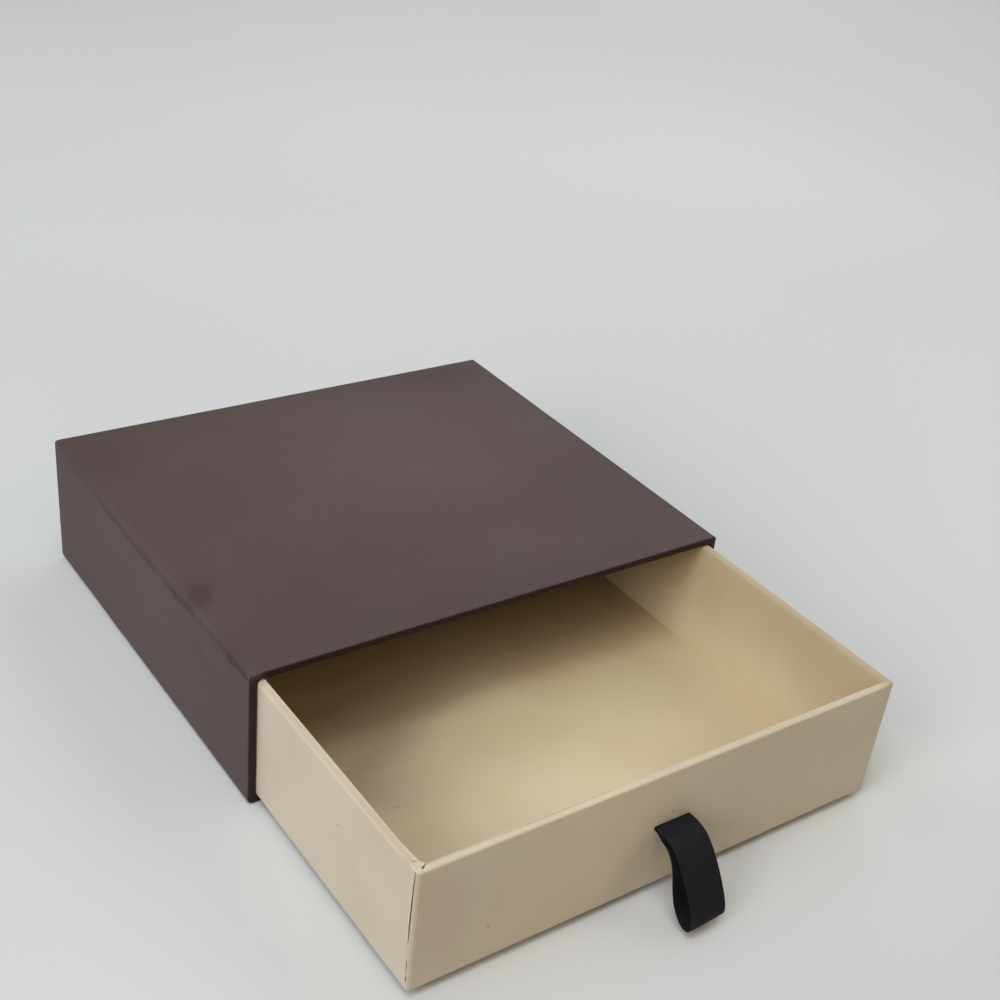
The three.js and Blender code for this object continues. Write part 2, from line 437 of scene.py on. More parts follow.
    def paint(self, name: str, value: Callable[[Vector], float]) -> "Bench":
        """Writes a value at each point for the material to read.

        Args:
            name: The attribute's name.
            value: Gives the value at a point's place.

        Returns:
            The bench.
        """
        mesh = self.piece.data
        layer = mesh.attributes.new(name, "FLOAT", "POINT")
        layer.data.foreach_set("value", [value(point.co) for point in mesh.vertices])
        return self

    def flip(self) -> "Bench":
        """Turns the sheet's face to its other side.

        Returns:
            The bench, for the tool that follows.
        """
        bpy.ops.mesh.select_all(action="SELECT")
        bpy.ops.mesh.flip_normals()
        return self

    def smooth(self, angle: float = 40) -> "Bench":
        """Shades the piece smooth across its flatter edges.

        Args:
            angle: The angle from which an edge stays sharp, in degrees.

        Returns:
            The bench, for the tool that follows.
        """
        self.clear()
        self.piece.select_set(True)
        bpy.context.view_layer.objects.active = self.piece
        bpy.ops.object.shade_smooth_by_angle(angle=math.radians(angle))
        return self

    def finish(
        self, body: Body, slot: Slot, material: bpy.types.Material, *nodes: str
    ) -> bpy.types.Object:
        """Dresses the piece and hands it to a body.

        Args:
            body: The body that it rides on.
            slot: The record's slot for its finish. Not used.
            material: Its finish.
            *nodes: The plain solids that it stands for.

        Returns:
            The finished piece.
        """
        piece = self.piece
        piece.data.materials.clear()
        piece.data.materials.append(material)
        if nodes:
            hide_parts(*nodes)
        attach(piece, body.value)
        log.info("%s: %d faces on %s", piece.name, len(piece.data.polygons), body.value)
        return piece


def spread(low: float, high: float, step: float) -> list[float]:
    """Even places between two limits, both left out.

    Args:
        low: The lower limit.
        high: The upper limit.
        step: About how far apart the places are.

    Returns:
        The places.
    """
    count = max(1, round((high - low) / step))
    return [low + (high - low) * i / count for i in range(1, count)]


def hemmed(low: float, high: float, hem: float, step: float) -> list[float]:
    """Even places between two limits, the first and the last of them a hem away from the limits."""
    start, stop = low + hem, high - hem
    return [start, *spread(start, stop, step), stop]


def smooth_line(points: Sequence[Vector], step: float) -> list[Vector]:
    """Draws a centripetal curve through points and reads it at even steps.

    Args:
        points: What the curve passes through.
        step: About how far apart the readings are.

    Returns:
        The readings, the curve's two ends among them.
    """
    ends = [2 * points[0] - points[1], *points, 2 * points[-1] - points[-2]]
    fine = []
    readings = 40
    for a, b, c, d in zip(ends, ends[1:], ends[2:], ends[3:]):
        times = [0.0]
        for here, there in ((a, b), (b, c), (c, d)):
            times.append(times[-1] + math.sqrt((there - here).length))
        t0, t1, t2, t3 = times
        for i in range(readings):
            t = t1 + (t2 - t1) * i / readings
            first = a.lerp(b, (t - t0) / (t1 - t0))
            middle = b.lerp(c, (t - t1) / (t2 - t1))
            last = c.lerp(d, (t - t2) / (t3 - t2))
            near = first.lerp(middle, (t - t0) / (t2 - t0))
            far = middle.lerp(last, (t - t1) / (t3 - t1))
            fine.append(near.lerp(far, (t - t1) / (t2 - t1)))
    fine.append(points[-1].copy())
    total = sum((there - here).length for here, there in zip(fine, fine[1:]))
    count = round(total / step)
    line, walked = [fine[0]], 0.0
    for here, there in zip(fine, fine[1:]):
        stretch = (there - here).length
        while len(line) < count and walked + stretch >= total * len(line) / count:
            line.append(here.lerp(there, (total * len(line) / count - walked) / stretch))
        walked += stretch
    return [*line, fine[-1]]


class Recipe:
    """A material under construction: its nodes, added and joined in reading order.

    The mix node's colour sockets share their names with its others, so they go by number.
    """

    FIRST_COLOUR = 6
    SECOND_COLOUR = 7
    MIXED_COLOUR = 2

    def __init__(self, name: str) -> None:
        """Starts an empty material with its surface shader.

        Args:
            name: The material's name.
        """
        self.material = bpy.data.materials.new(name)
        self.material.use_nodes = True
        self.tree = self.material.node_tree
        self.tree.nodes.clear()
        self.output = self.tree.nodes.new("ShaderNodeOutputMaterial")
        self.shader = self.tree.nodes.new("ShaderNodeBsdfPrincipled")
        self.tree.links.new(self.shader.outputs["BSDF"], self.output.inputs["Surface"])
        self.place = self.tree.nodes.new("ShaderNodeTexCoord").outputs["Object"]

    def put(self, kind: str, inputs: dict[Any, Any] | None = None, **settings: Any) -> bpy.types.Node:
        """Adds a node.

        Args:
            kind: The node's type, without its common prefix.
            inputs: What goes into its sockets: sockets to join, or plain values.
            **settings: The node's own settings.

        Returns:
            The node.
        """
        node = self.tree.nodes.new("ShaderNode" + kind)
        for name, value in settings.items():
            setattr(node, name, value)
        for name, value in (inputs or {}).items():
            self.feed(node.inputs[name], value)
        return node

    def feed(self, socket: bpy.types.NodeSocket, value: Any) -> None:
        """Joins a socket to another, or sets its value.

        Args:
            socket: The socket that is fed.
            value: A socket to join it to, or a plain value.
        """
        if isinstance(value, bpy.types.NodeSocket):
            self.tree.links.new(value, socket)
        else:
            socket.default_value = value

    def sum(self, how: str, *values: Any, clamp: bool = False) -> bpy.types.NodeSocket:
        """Works out a number from others.

        Args:
            how: The operation's name.
            *values: Sockets or plain numbers.
            clamp: Whether to keep the result between 0 and 1.

        Returns:
            The result's socket.
        """
        return self.put("Math", dict(enumerate(values)), operation=how, use_clamp=clamp).outputs[0]

    def blend(self, share: Any, first: Any, second: Any, how: str = "MIX") -> bpy.types.NodeSocket:
        """Mixes two colours.

        Args:
            share: How much of the second, 0 to 1.
            first: The first colour.
            second: The second colour.
            how: The way they mix.

        Returns:
            The mixed colour's socket.
        """
        node = self.put("Mix", data_type="RGBA", blend_type=how)
        self.feed(node.inputs["Factor"], share)
        self.feed(node.inputs[self.FIRST_COLOUR], first)
        self.feed(node.inputs[self.SECOND_COLOUR], second)
        return node.outputs[self.MIXED_COLOUR]

    def grain(self, length: float, detail: float = 2, stretch: Sequence[float] = (1, 1, 1)) -> Any:
        """Reads noise at a real size.

        Args:
            length: The size of a patch.
            detail: How many finer layers it has.
            stretch: How much longer a patch is along each axis.

        Returns:
            The noise's socket, 0 to 1.
        """
        scale = [1 / (length * share) for share in stretch]
        at = self.put("Mapping", {"Vector": self.place, "Scale": scale}).outputs[0]
        return self.put("TexNoise", {"Vector": at, "Scale": 1.0, "Detail": detail}).outputs["Fac"]

    def span(self, value: Any, low: float, high: float, to_low: float = 0, to_high: float = 1) -> Any:
        """Carries a value from one span to another, smoothly, and stops at its ends."""
        ends = {"Value": value, "From Min": low, "From Max": high, "To Min": to_low, "To Max": to_high}
        return self.put("MapRange", ends, interpolation_type="SMOOTHSTEP").outputs[0]

    def spot(
        self, middle: Sequence[float], size: Sequence[float], soft: float = 0.5, turn: float = 0
    ) -> Any:
        """Marks an oval place on the piece.

        Args:
            middle: The oval's middle, in millimetres.
            size: Its half extents, in millimetres.
            soft: The share of it over which it fades.
            turn: How far it is turned about the vertical, in degrees.

        Returns:
            The mark's socket, 1 inside and 0 outside.
        """
        oval = {
            "Vector": self.place,
            "Location": [value * MM for value in middle],
            "Rotation": (0, 0, math.radians(turn)),
            "Scale": [value * MM for value in size],
        }
        at = self.put("Mapping", oval, vector_type="TEXTURE").outputs[0]
        reach = self.put("VectorMath", {0: at}, operation="LENGTH").outputs["Value"]
        return self.span(reach, 1 - soft, 1 + soft, 1, 0)

    def touch(self, colour: Any, mark: Any, strength: float, tint: tuple[float, ...]) -> Any:
        """Multiplies a colour by a tint where a mark lies.

        Args:
            colour: The colour's socket.
            mark: The mark's socket, 0 to 1.
            strength: How much of the tint the mark takes.
            tint: What the colour is multiplied by, over 1 to lighten it.

        Returns:
            The new colour's socket.
        """
        return self.blend(self.sum("MULTIPLY", mark, strength), colour, (*tint, 1.0), how="MULTIPLY")

    def mark(self, name: str) -> Any:
        """Reads a value that was painted on the piece's points."""
        return self.put("Attribute", attribute_name=name).outputs["Fac"]

    def bump(self, *layers: tuple[Any, float]) -> None:
        """Raises the surface by layers of height.

        Args:
            *layers: Each layer's height socket, 0 to 1, and how high 1 is.
        """
        normal = None
        for height, distance in layers:
            inputs = {"Height": height, "Distance": distance, "Strength": 1.0}
            if normal is not None:
                inputs["Normal"] = normal
            normal = self.put("Bump", inputs).outputs["Normal"]
        self.feed(self.shader.inputs["Normal"], normal)

    def surface(self, colour: Any, roughness: Any, **constants: float) -> None:
        """Sets the shader's colour, roughness and plain values.

        Args:
            colour: The colour, a socket or a plain value.
            roughness: The roughness, a socket or a plain value.
            **constants: The shader's other inputs by name, with an underscore for a space.
        """
        self.feed(self.shader.inputs["Base Color"], colour)
        self.feed(self.shader.inputs["Roughness"], roughness)
        for name, value in constants.items():
            self.shader.inputs[name.replace("_", " ")].default_value = value


@dataclass(frozen=True)
class Mark:
    """A stain, scuff or speck, or a patch of painted light or shade: an oval that multiplies the paper's
    colour, sizes in millimetres.
    """

    middle: tuple[float, float, float]
    size: tuple[float, float, float]
    tint: tuple[float, float, float]
    strength: float = 1.0
    soft: float = 0.5
    turn: float = 0.0

    def on(self, recipe: Recipe, colour: Any) -> Any:
        """Puts the mark on a colour."""
        spot = recipe.spot(self.middle, self.size, self.soft, self.turn)
        return recipe.touch(colour, spot, self.strength, self.tint)


@dataclass(frozen=True)
class BrownPaper:
    """The sleeve's matt uncoated paper: fine tooth, soft mottling, rubbed and marked by handling, and
    painted sheen, highlight and shade.
    """

    roughness: float = 0.62
    # The first two marks are a stain by the left edge, and the last two are specks on the left side. Of
    # the broad ovals, the pale one over the top's middle is a painted sheen and the dark band along the
    # top's front is painted shade; the left side is darker over its back and lighter along its middle,
    # and the others are patches of uneven tone.
    marks: tuple[Mark, ...] = (
        Mark((-69.2, -26.4, 40), (5.0, 8.8, 3), (0.92, 0.87, 0.89), soft=0.45, turn=-28),
        Mark((-69.2, -27.6, 40), (3.0, 5.2, 3), (0.80, 0.73, 0.78), soft=0.4, turn=-28),
        Mark((-72, 64, 38), (16, 34, 30), (0.88, 0.87, 0.86), soft=0.9),
        Mark((56.7, 56.8, 40), (14, 5, 3), (0.86, 0.82, 0.82), soft=0.8),
        Mark((-51.4, -44.2, 40), (20, 12, 3), (0.93, 0.90, 0.93), soft=0.8, turn=20),
        Mark((9, 17, 40), (36, 27, 3), (1.17, 1.19, 1.21), soft=0.9),
        Mark((61, -35, 40), (17, 24, 3), (0.92, 0.91, 0.91), soft=0.8),
        Mark((-15, -62, 40), (60, 13, 3), (0.88, 0.87, 0.88), soft=0.8),
        Mark((-73, 8, 20), (2, 50, 30), (1.09, 1.09, 1.09), soft=0.6),
        Mark((-73, -1.7, 27.2), (2, 2.4, 0.5), (1.14, 1.14, 1.12), soft=0.6),
        Mark((-73, -34.7, 29.1), (2, 2.6, 2.2), (0.93, 0.92, 0.93), soft=0.7),
    )

    def material(self) -> bpy.types.Material:
        """Builds the paper's material.

        Returns:
            The material.
        """
        recipe = Recipe("paper_brown")
        cloud = recipe.grain(34 * MM, 2)
        patch = recipe.grain(9 * MM, 3)
        tooth = recipe.grain(0.45 * MM, 2)
        fibre = recipe.grain(0.3 * MM, 2, (1, 7, 1))
        colour = recipe.blend(recipe.span(cloud, 0.35, 0.65), srgb(82, 67, 66), srgb(84, 71, 67))
        colour = recipe.blend(recipe.span(patch, 0.3, 0.7, 0, 0.35), colour, srgb(79, 66, 64))
        colour = recipe.blend(recipe.span(tooth, 0.3, 0.7, 0, 0.3), colour, srgb(71, 57, 56))
        for mark in self.marks:
            colour = mark.on(recipe, colour)
        # Painted shade in the furrow under the left wall's upper edge.
        colour = recipe.touch(colour, recipe.mark("shaded_crease"), 1.0, (0.46, 0.37, 0.38))
        # A painted highlight along the left edge, and pale rubbing at the mouth's near corner.
        colour = recipe.touch(colour, recipe.mark("paled"), 1.0, (1.16, 1.22, 1.2))
        # Dark round the mouth: partly the fold's own dark paper, partly painted shade.
        colour = recipe.touch(colour, recipe.mark("mouth_fold_and_shade"), 1.0, (0.3, 0.17, 0.2))
        rub = recipe.sum("MULTIPLY", recipe.mark("worn"), recipe.span(tooth, 0.5, 0.58), clamp=True)
        colour = recipe.blend(rub, colour, srgb(116, 92, 90))
        recipe.surface(
            colour, recipe.span(tooth, 0.2, 0.8, self.roughness - 0.07, self.roughness + 0.07),
            Specular_IOR_Level=0.3,
        )
        recipe.bump((tooth, 0.02 * MM), (fibre, 0.015 * MM), (patch, 0.05 * MM))
        return recipe.material


@dataclass(frozen=True)
class CreamPaper:
    """The tray's paper, inside and out: smooth, faintly fibrous, with a few specks, and painted light,
    shade and shadow.
    """

    roughness: float = 0.6
    # The first two marks are specks, the dark dot by the slit is painted shade in a pinhole, and the two
    # thin ones lie on the floor. The broad ovals paint the light on the walls: cooler over the left
    # wall, paler by the sleeve's mouth, warmer on the front wall; the last is darker on the front wall
    # by its left corner.
    marks: tuple[Mark, ...] = (
        Mark((-70.65, -102.2, 24.7), (1, 0.32, 0.4), (0.66, 0.58, 0.5)),
        Mark((-50.5, -134.5, 12.6), (0.4, 1, 0.3), (0.62, 0.52, 0.46)),
        Mark((0.1, -134.5, 24.6), (0.26, 1, 0.26), (0.3, 0.22, 0.16), soft=0.4),
        Mark((-43.4, -84.8, 4.5), (0.9, 0.26, 1), (0.84, 0.81, 0.78), soft=0.6, turn=-28),
        Mark((-41.4, -85.7, 4.5), (0.6, 0.22, 1), (0.84, 0.81, 0.78), soft=0.6, turn=-28),
        Mark((-70.65, -90, 20), (2, 70, 60), (1.0, 1.01, 1.045), soft=0.3),
        Mark((-70.65, -66, 22), (2, 14, 40), (1.03, 1.04, 1.05), soft=0.8),
        Mark((-22, -134.5, 20), (22, 2, 30), (1.05, 1.03, 1.0), soft=0.8),
        Mark((-63, -134.5, 22), (6, 2, 13), (0.92, 0.89, 0.87), soft=0.8),
    )

    def material(
        self, name: str, low: tuple[float, ...], high: tuple[float, ...]
    ) -> bpy.types.Material:
        """Builds the paper's material.

        Args:
            name: The material's name.
            low: The deeper of its two tones.
            high: The paler of its two tones.

        Returns:
            The material.
        """
        recipe = Recipe(name)
        cloud = recipe.grain(30 * MM, 3)
        tooth = recipe.grain(0.4 * MM, 2)
        fibre = recipe.grain(0.35 * MM, 2, (6, 1, 1))
        colour = recipe.blend(recipe.span(cloud, 0.35, 0.65), low, high)
        colour = recipe.touch(colour, recipe.span(tooth, 0.3, 0.7), 0.25, (0.93, 0.92, 0.9))
        for mark in self.marks:
            colour = mark.on(recipe, colour)
        # Painted shade: over the rim's top, on the walls' lining towards the rim, and on the floor's
        # lining.
        colour = recipe.touch(colour, recipe.mark("painted_shade"), 1.0, (0.62, 0.54, 0.42))
        # Painted shadow along the left wall and under the sleeve's mouth.
        colour = recipe.touch(colour, recipe.mark("floor_shadow"), 1.0, (0.5, 0.46, 0.44))
        # Painted shade in the wrinkles and between the lumps by the rim's near corner.
        colour = recipe.touch(colour, recipe.mark("shaded_crease"), 1.0, (0.55, 0.5, 0.45))
        colour = recipe.touch(colour, recipe.mark("torn"), 1.0, (1.3, 1.36, 1.5))
        # Painted shade deep in the corner seam's gap and the rim's cut.
        colour = recipe.blend(recipe.mark("shaded_gap"), colour, srgb(68, 44, 4))
        recipe.surface(
            colour, recipe.span(tooth, 0.2, 0.8, self.roughness - 0.06, self.roughness + 0.06),
            Specular_IOR_Level=0.25,
        )
        recipe.bump((tooth, 0.012 * MM), (fibre, 0.01 * MM))
        return recipe.material


@dataclass(frozen=True)
class Greyboard:
    """Recycled board: grey-brown, felted in layers, with dark and pale flecks."""

    roughness: float = 0.9

    def material(self) -> bpy.types.Material:
        """Builds the board's material.

        Returns:
            The material.
        """
        recipe = Recipe("board_grey")
        felt = recipe.grain(1.2 * MM, 4)
        layer = recipe.grain(0.22 * MM, 1, (14, 14, 1))
        fleck = recipe.grain(0.5 * MM, 0, (4, 1, 1))
        colour = recipe.blend(recipe.span(felt, 0.3, 0.7), srgb(142, 134, 120), srgb(166, 158, 144))
        colour = recipe.blend(recipe.span(layer, 0.3, 0.7, 0, 0.3), colour, srgb(120, 112, 100))
        colour = recipe.blend(recipe.span(fleck, 0.66, 0.72), colour, srgb(98, 88, 76))
        recipe.surface(colour, self.roughness)
        recipe.bump((felt, 0.05 * MM), (layer, 0.03 * MM))
        return recipe.material


@dataclass(frozen=True)
class KraftTape:
    """Gummed brown tape with long fibres."""

    roughness: float = 0.7

    def material(self) -> bpy.types.Material:
        """Builds the tape's material.

        Returns:
            The material.
        """
        recipe = Recipe("tape_kraft")
        fibre = recipe.grain(0.5 * MM, 3, (1, 9, 1))
        patch = recipe.grain(5 * MM, 2)
        colour = recipe.blend(recipe.span(patch, 0.3, 0.7), srgb(168, 132, 88), srgb(182, 148, 104))
        colour = recipe.blend(recipe.span(fibre, 0.4, 0.7, 0, 0.5), colour, srgb(146, 110, 70))
        recipe.surface(colour, self.roughness)
        recipe.bump((fibre, 0.02 * MM))
        return recipe.material


@dataclass(frozen=True)
class BlackSatin:
    """The ribbon's weave: long shining floats along it, fine picks across it, and a firm selvedge."""

    roughness: float = 0.66

    def material(self) -> bpy.types.Material:
        """Builds the ribbon's material, drawn on the ribbon's own map in metres.

        Returns:
            The material.
        """
        recipe = Recipe("satin_black")
        along = recipe.put("UVMap", uv_map="length").outputs["UV"]
        recipe.place = along
        floats = recipe.grain(0.12 * MM, 1, (1, 9, 1))
        picks = recipe.grain(0.16 * MM, 1, (8, 1, 1))
        patch = recipe.grain(6 * MM, 2)
        colour = recipe.blend(recipe.span(floats, 0.3, 0.7), srgb(22, 21, 25), srgb(30, 29, 34))
        colour = recipe.blend(recipe.span(patch, 0.35, 0.65, 0, 0.3), colour, srgb(33, 32, 37))
        recipe.surface(
            colour, recipe.span(floats, 0.2, 0.8, self.roughness - 0.06, self.roughness + 0.08),
            Specular_IOR_Level=0.12,
        )
        recipe.bump((floats, 0.02 * MM), (picks, 0.015 * MM))
        return recipe.material


@dataclass(frozen=True)
class Finishes:
    """The finishes, each made once."""

    greyboard: bpy.types.Material = field(default_factory=lambda: Greyboard().material())
    tape: bpy.types.Material = field(default_factory=lambda: KraftTape().material())
    brown: bpy.types.Material = field(default_factory=lambda: BrownPaper().material())
    cream: bpy.types.Material = field(default_factory=lambda: CreamPaper().material(
        "paper_cream", srgb(202, 188, 163), srgb(206, 194, 170)))
    # The lining is a warmer copy of the cream paper: painted light, for the warm light that bounces
    # about inside the tray.
    lining: bpy.types.Material = field(default_factory=lambda: CreamPaper().material(
        "paper_cream_lining_warm_bounce", srgb(209, 193, 161), srgb(213, 199, 168)))
    satin: bpy.types.Material = field(default_factory=lambda: BlackSatin().material())

    def dress(self, names: Sequence[str], material: bpy.types.Material) -> None:
        """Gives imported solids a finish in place.

        Args:
            names: The solids.
            material: Their finish.
        """
        for name in names:
            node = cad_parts[name]
            node.data.materials.clear()
            node.data.materials.append(material)
            log.info("%s: packed solid in %s", name, material.name)


@dataclass(frozen=True)
class Sleeve:
    """The outer sleeve: one sheet of brown paper round its boards, folded in at the mouth."""

    low: Vector
    high: Vector
    wall: float
    turn_in: float
    flap: float = 12 * MM
    paper: float = 0.12 * MM
    edge_radius: float = 1.0 * MM
    base_radius: float = 1.5 * MM
    fold_radius: float = 0.45 * MM
    inner_radius: float = 0.35 * MM
    swell: float = 0.03 * MM
    edge_swell: float = 0.04 * MM
    mouth_swell: float = 0.05 * MM
    furrow: float = 0.035 * MM
    deepest: float = 0.1 * MM
    corner_reach: float = 3 * MM
    highlight_middle: float = -35 * MM
    crease_rows: tuple[tuple[float, ...], ...] = (
        # share of the depth from the mouth, drop below the top in mm, width in mm, strength
        (0.0, 1.2, 1.1, 1.0), (0.016, 1.3, 1.2, 1.0), (0.04, 1.3, 1.5, 0.8), (0.08, 1.6, 2.3, 0.85),
        (0.111, 1.6, 2.2, 0.5), (0.143, 1.6, 2.4, 0.25), (0.175, 1.9, 1.9, 0.25), (0.207, 2.0, 1.3, 0.3),
        (0.238, 1.9, 1.6, 0.4), (0.27, 1.9, 2.1, 0.75), (0.302, 2.2, 2.4, 0.8), (0.334, 2.4, 2.6, 0.9),
        (0.366, 2.3, 2.0, 0.6), (0.397, 2.1, 1.5, 0.3), (0.429, 2.1, 2.0, 0.5), (0.461, 2.1, 2.3, 0.75),
        (0.493, 2.4, 2.4, 0.6), (0.525, 2.6, 2.4, 0.55), (0.556, 2.5, 2.0, 0.5), (0.588, 2.5, 2.0, 0.55),
        (0.62, 2.3, 2.2, 0.65), (0.652, 2.2, 2.3, 0.65), (0.684, 2.3, 2.2, 0.6), (0.715, 2.3, 2.1, 0.6),
        (0.747, 2.0, 1.9, 0.4), (0.779, 1.9, 1.7, 0.3), (0.843, 1.8, 2.0, 0.3), (1.0, 1.4, 1.9, 0.15),
    )

    @classmethod
    def from_frame(cls) -> "Sleeve":
        """Reads the sleeve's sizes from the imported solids.

        Returns:
            The sleeve, measured and not built yet.
        """
        low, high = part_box("sleeve_cover")
        board_low, board_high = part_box("sleeve_left_board")
        lining_low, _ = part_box("sleeve_lining")
        paper = board_low.x - low.x
        return cls(low, high, wall=board_high.x - low.x + paper, turn_in=lining_low.y - low.y)

    def shaded_crease(self, place: Vector) -> float:
        """Reads the furrow that wanders along the left wall, just under its upper edge; the reading
        sinks the furrow and paints shade in it.

        Args:
            place: A point of the sheet.

        Returns:
            How deep the furrow is there, 0 to 1.
        """
        if place.x > self.low.x + 1.2 * MM or place.z < self.high.z - 5 * MM:
            return 0.0
        share = (place.y - self.low.y) / (self.high.y - self.low.y)
        drop, width, strength = read_along(self.crease_rows, share)
        return strength * bell(place.z - (self.high.z - drop * MM), width * MM)

    def paled(self, place: Vector) -> float:
        """Where the paper is pale: a painted highlight along a strip of the left edge, and rubbed
        wear at the mouth's near corner.

        Args:
            place: A point of the sheet.

        Returns:
            How pale it is there, 0 to 1.
        """
        strip = bell(place.x - self.low.x - 0.5 * MM, 1.6 * MM)
        strip *= bell(place.y - self.highlight_middle, 13 * MM)
        on_top = ease(place.z, self.high.z - 0.8 * MM, self.high.z - 0.2 * MM)
        corner = Vector((self.low.x + 2.4 * MM, self.low.y + 1.2 * MM, self.high.z))
        return on_top * max(0.5 * strip, 0.7 * bell((place - corner).length, 3.2 * MM))

    def worn(self, place: Vector) -> float:
        """Where the paper's face is rubbed through in flecks: the mouth's corners, the near one most.

        Args:
            place: A point of the sheet.

        Returns:
            How worn it is there, 0 to 1.
        """
        paled = 0.0
        for x, z, reach in (
            (self.low.x, self.high.z, 3.0 * MM), (self.high.x, self.high.z, 1.2 * MM),
            (self.low.x, self.low.z, 1.4 * MM), (self.high.x, self.low.z, 1.4 * MM),
        ):
            paled = max(paled, bell((place - Vector((x, self.low.y, z))).length, reach))
        return paled

    def mouth_fold_and_shade(self, place: Vector) -> float:
        """The dark rim of the mouth, where the paper is folded hard over the board:
        partly the fold's own dark paper, partly painted shade.

        Args:
            place: A point of the sheet.

        Returns:
            How dark it is there, 0 to 1.
        """
        rim = 1 - ease(place.y - self.low.y, 0.12 * MM, 0.42 * MM)
        knob = self.knob(place)
        # Painted shade in the pits among the bunched lumps at the near corner.
        pit_shade = 0.6 * ease(knob, 0.1, 0.5) * ease(ripple(place, 0.9 * MM, 9.0), 0.05, 0.35)
        return max(rim * (1 - 0.7 * knob), pit_shade)

    def knob(self, place: Vector) -> float:
        """The bunched paper at the mouth's near upper corner."""
        middle = Vector((self.low.x + 0.7 * MM, self.low.y + 0.6 * MM, self.high.z - 0.5 * MM))
        return bell((place - middle).length, 2.4 * MM)

    def relief(self, place: Vector, normal: Vector) -> Vector:
        """The unevenness of the glued paper: a soft swell, the furrow and lumps at the mouth.

        Args:
            place: A point of the sheet.
            normal: The sheet's direction there.

        Returns:
            The point's move.
        """
        hem = 1.5 * MM
        in_width = abs(place.x) < self.high.x - hem
        in_height = self.low.z + hem < place.z < self.high.z - hem
        if in_width and in_height and place.y < self.high.y - 1 * MM:
            return Vector()
        push = self.swell * ripple(place, 24 * MM)
        edge = bell(min(abs(place.x - self.low.x), abs(place.x - self.high.x)), 2 * MM)
        push += self.edge_swell * edge * ripple(place, 7 * MM, 4.0)
        at_mouth = bell(place.y - self.low.y, 1.6 * MM)
        push += self.mouth_swell * at_mouth * (0.6 + ripple(place, 5 * MM, 11.0))
        push -= self.furrow * self.shaded_crease(place)
        push += self.knob(place) * (0.16 + 0.24 * ripple(place, 0.9 * MM, 6.0)) * MM
        return normal * max(push, -self.deepest)

    def cover(self, material: bpy.types.Material) -> bpy.types.Object:
        """Builds the sheet that covers the boards.

        Args:
            material: The brown paper.

        Returns:
            The piece.
        """
        low, high = self.low, self.high
        bench = Bench.block("sleeve_paper", low, high)
        with bench.open():
            bench.faces(lambda middle, normal: normal.y < -0.9).inset(self.wall)
            bench.extrude((0, self.turn_in, 0)).remove()
            self._round_edges(bench)
            self._open_flaps(bench)
            self._slice(bench)
        bench.thicken(self.paper).press(self.relief)
        # Painted on the sheet: shade in the furrow, a highlight along the left edge with rubbed wear at
        # the near corner, worn flecks, and shade round the mouth with the fold's own dark.
        for name, value in (
            ("shaded_crease", self.shaded_crease), ("paled", self.paled), ("worn", self.worn), ("mouth_fold_and_shade", self.mouth_fold_and_shade),
        ):
            bench.paint(name, value)
        bench.smooth()
        return bench.finish(Body.SLEEVE, Slot.BROWN, material, "sleeve_cover")

    def _round_edges(self, bench: Bench) -> None:
        """Rounds the long edges, then the folds at the mouth and the back.

        Args:
            bench: The bench with the sheet on it, in edit mode.
        """
        low, high = self.low, self.high
        middle = (low + high) / 2

        def long_edge(a: Vector, b: Vector, height: float) -> bool:
            """Says whether an edge runs along a side of the sleeve at a height.

            Args:
                a: One end of the edge.
                b: Its other end.
                height: The height.

            Returns:
                Whether it does.
            """
            at_side = all(abs(abs(end.x) - high.x) < TOUCH for end in (a, b))
            at_height = all(abs(end.z - height) < TOUCH for end in (a, b))
            return at_side and at_height and abs(a.y - b.y) > high.y

        bench.edges(lambda a, b: long_edge(a, b, high.z)).round(self.edge_radius, 6)
        bench.edges(lambda a, b: long_edge(a, b, low.z)).round(self.base_radius, 7)
        bench.fold(Axis.Y, low.y, middle, outer=True).round(self.fold_radius, 4)
        bench.fold(Axis.Y, low.y, middle, outer=False).round(self.inner_radius, 3)
        bench.fold(Axis.Y, high.y, middle, outer=True).round(self.fold_radius, 4)

    def _open_flaps(self, bench: Bench) -> None:
        """Takes out the middle of the underside and the back, so that only the glued flaps stay.

        Args:
            bench: The bench with the sheet on it, in edit mode.
        """
        low, high, flap = self.low, self.high, self.flap

        def underside(middle: Vector) -> bool:
            """Whether a face is part of the underside."""
            return middle.z < low.z + TOUCH

        def backside(middle: Vector) -> bool:
            """Whether a face is part of the back."""
            return middle.y > high.y - TOUCH

        def flapped(middle: Vector) -> bool:
            """Whether a face is part of the underside or the back."""
            return underside(middle) or backside(middle)

        def within(middle: Vector, *axes: Axis) -> bool:
            """Whether a face lies clear of the flaps along the axes."""
            places = [axis.value for axis in axes]
            return all(low[place] + flap < middle[place] < high[place] - flap for place in places)

        bench.slice(Axis.X, [low.x + flap, high.x - flap], flapped)
        bench.slice(Axis.Y, [low.y + flap, high.y - flap], underside)
        bench.slice(Axis.Z, [low.z + flap, high.z - flap], backside)
        bench.faces(
            lambda middle, normal: underside(middle) and within(middle, Axis.X, Axis.Y)
        ).remove()
        bench.faces(
            lambda middle, normal: backside(middle) and within(middle, Axis.X, Axis.Z)
        ).remove()

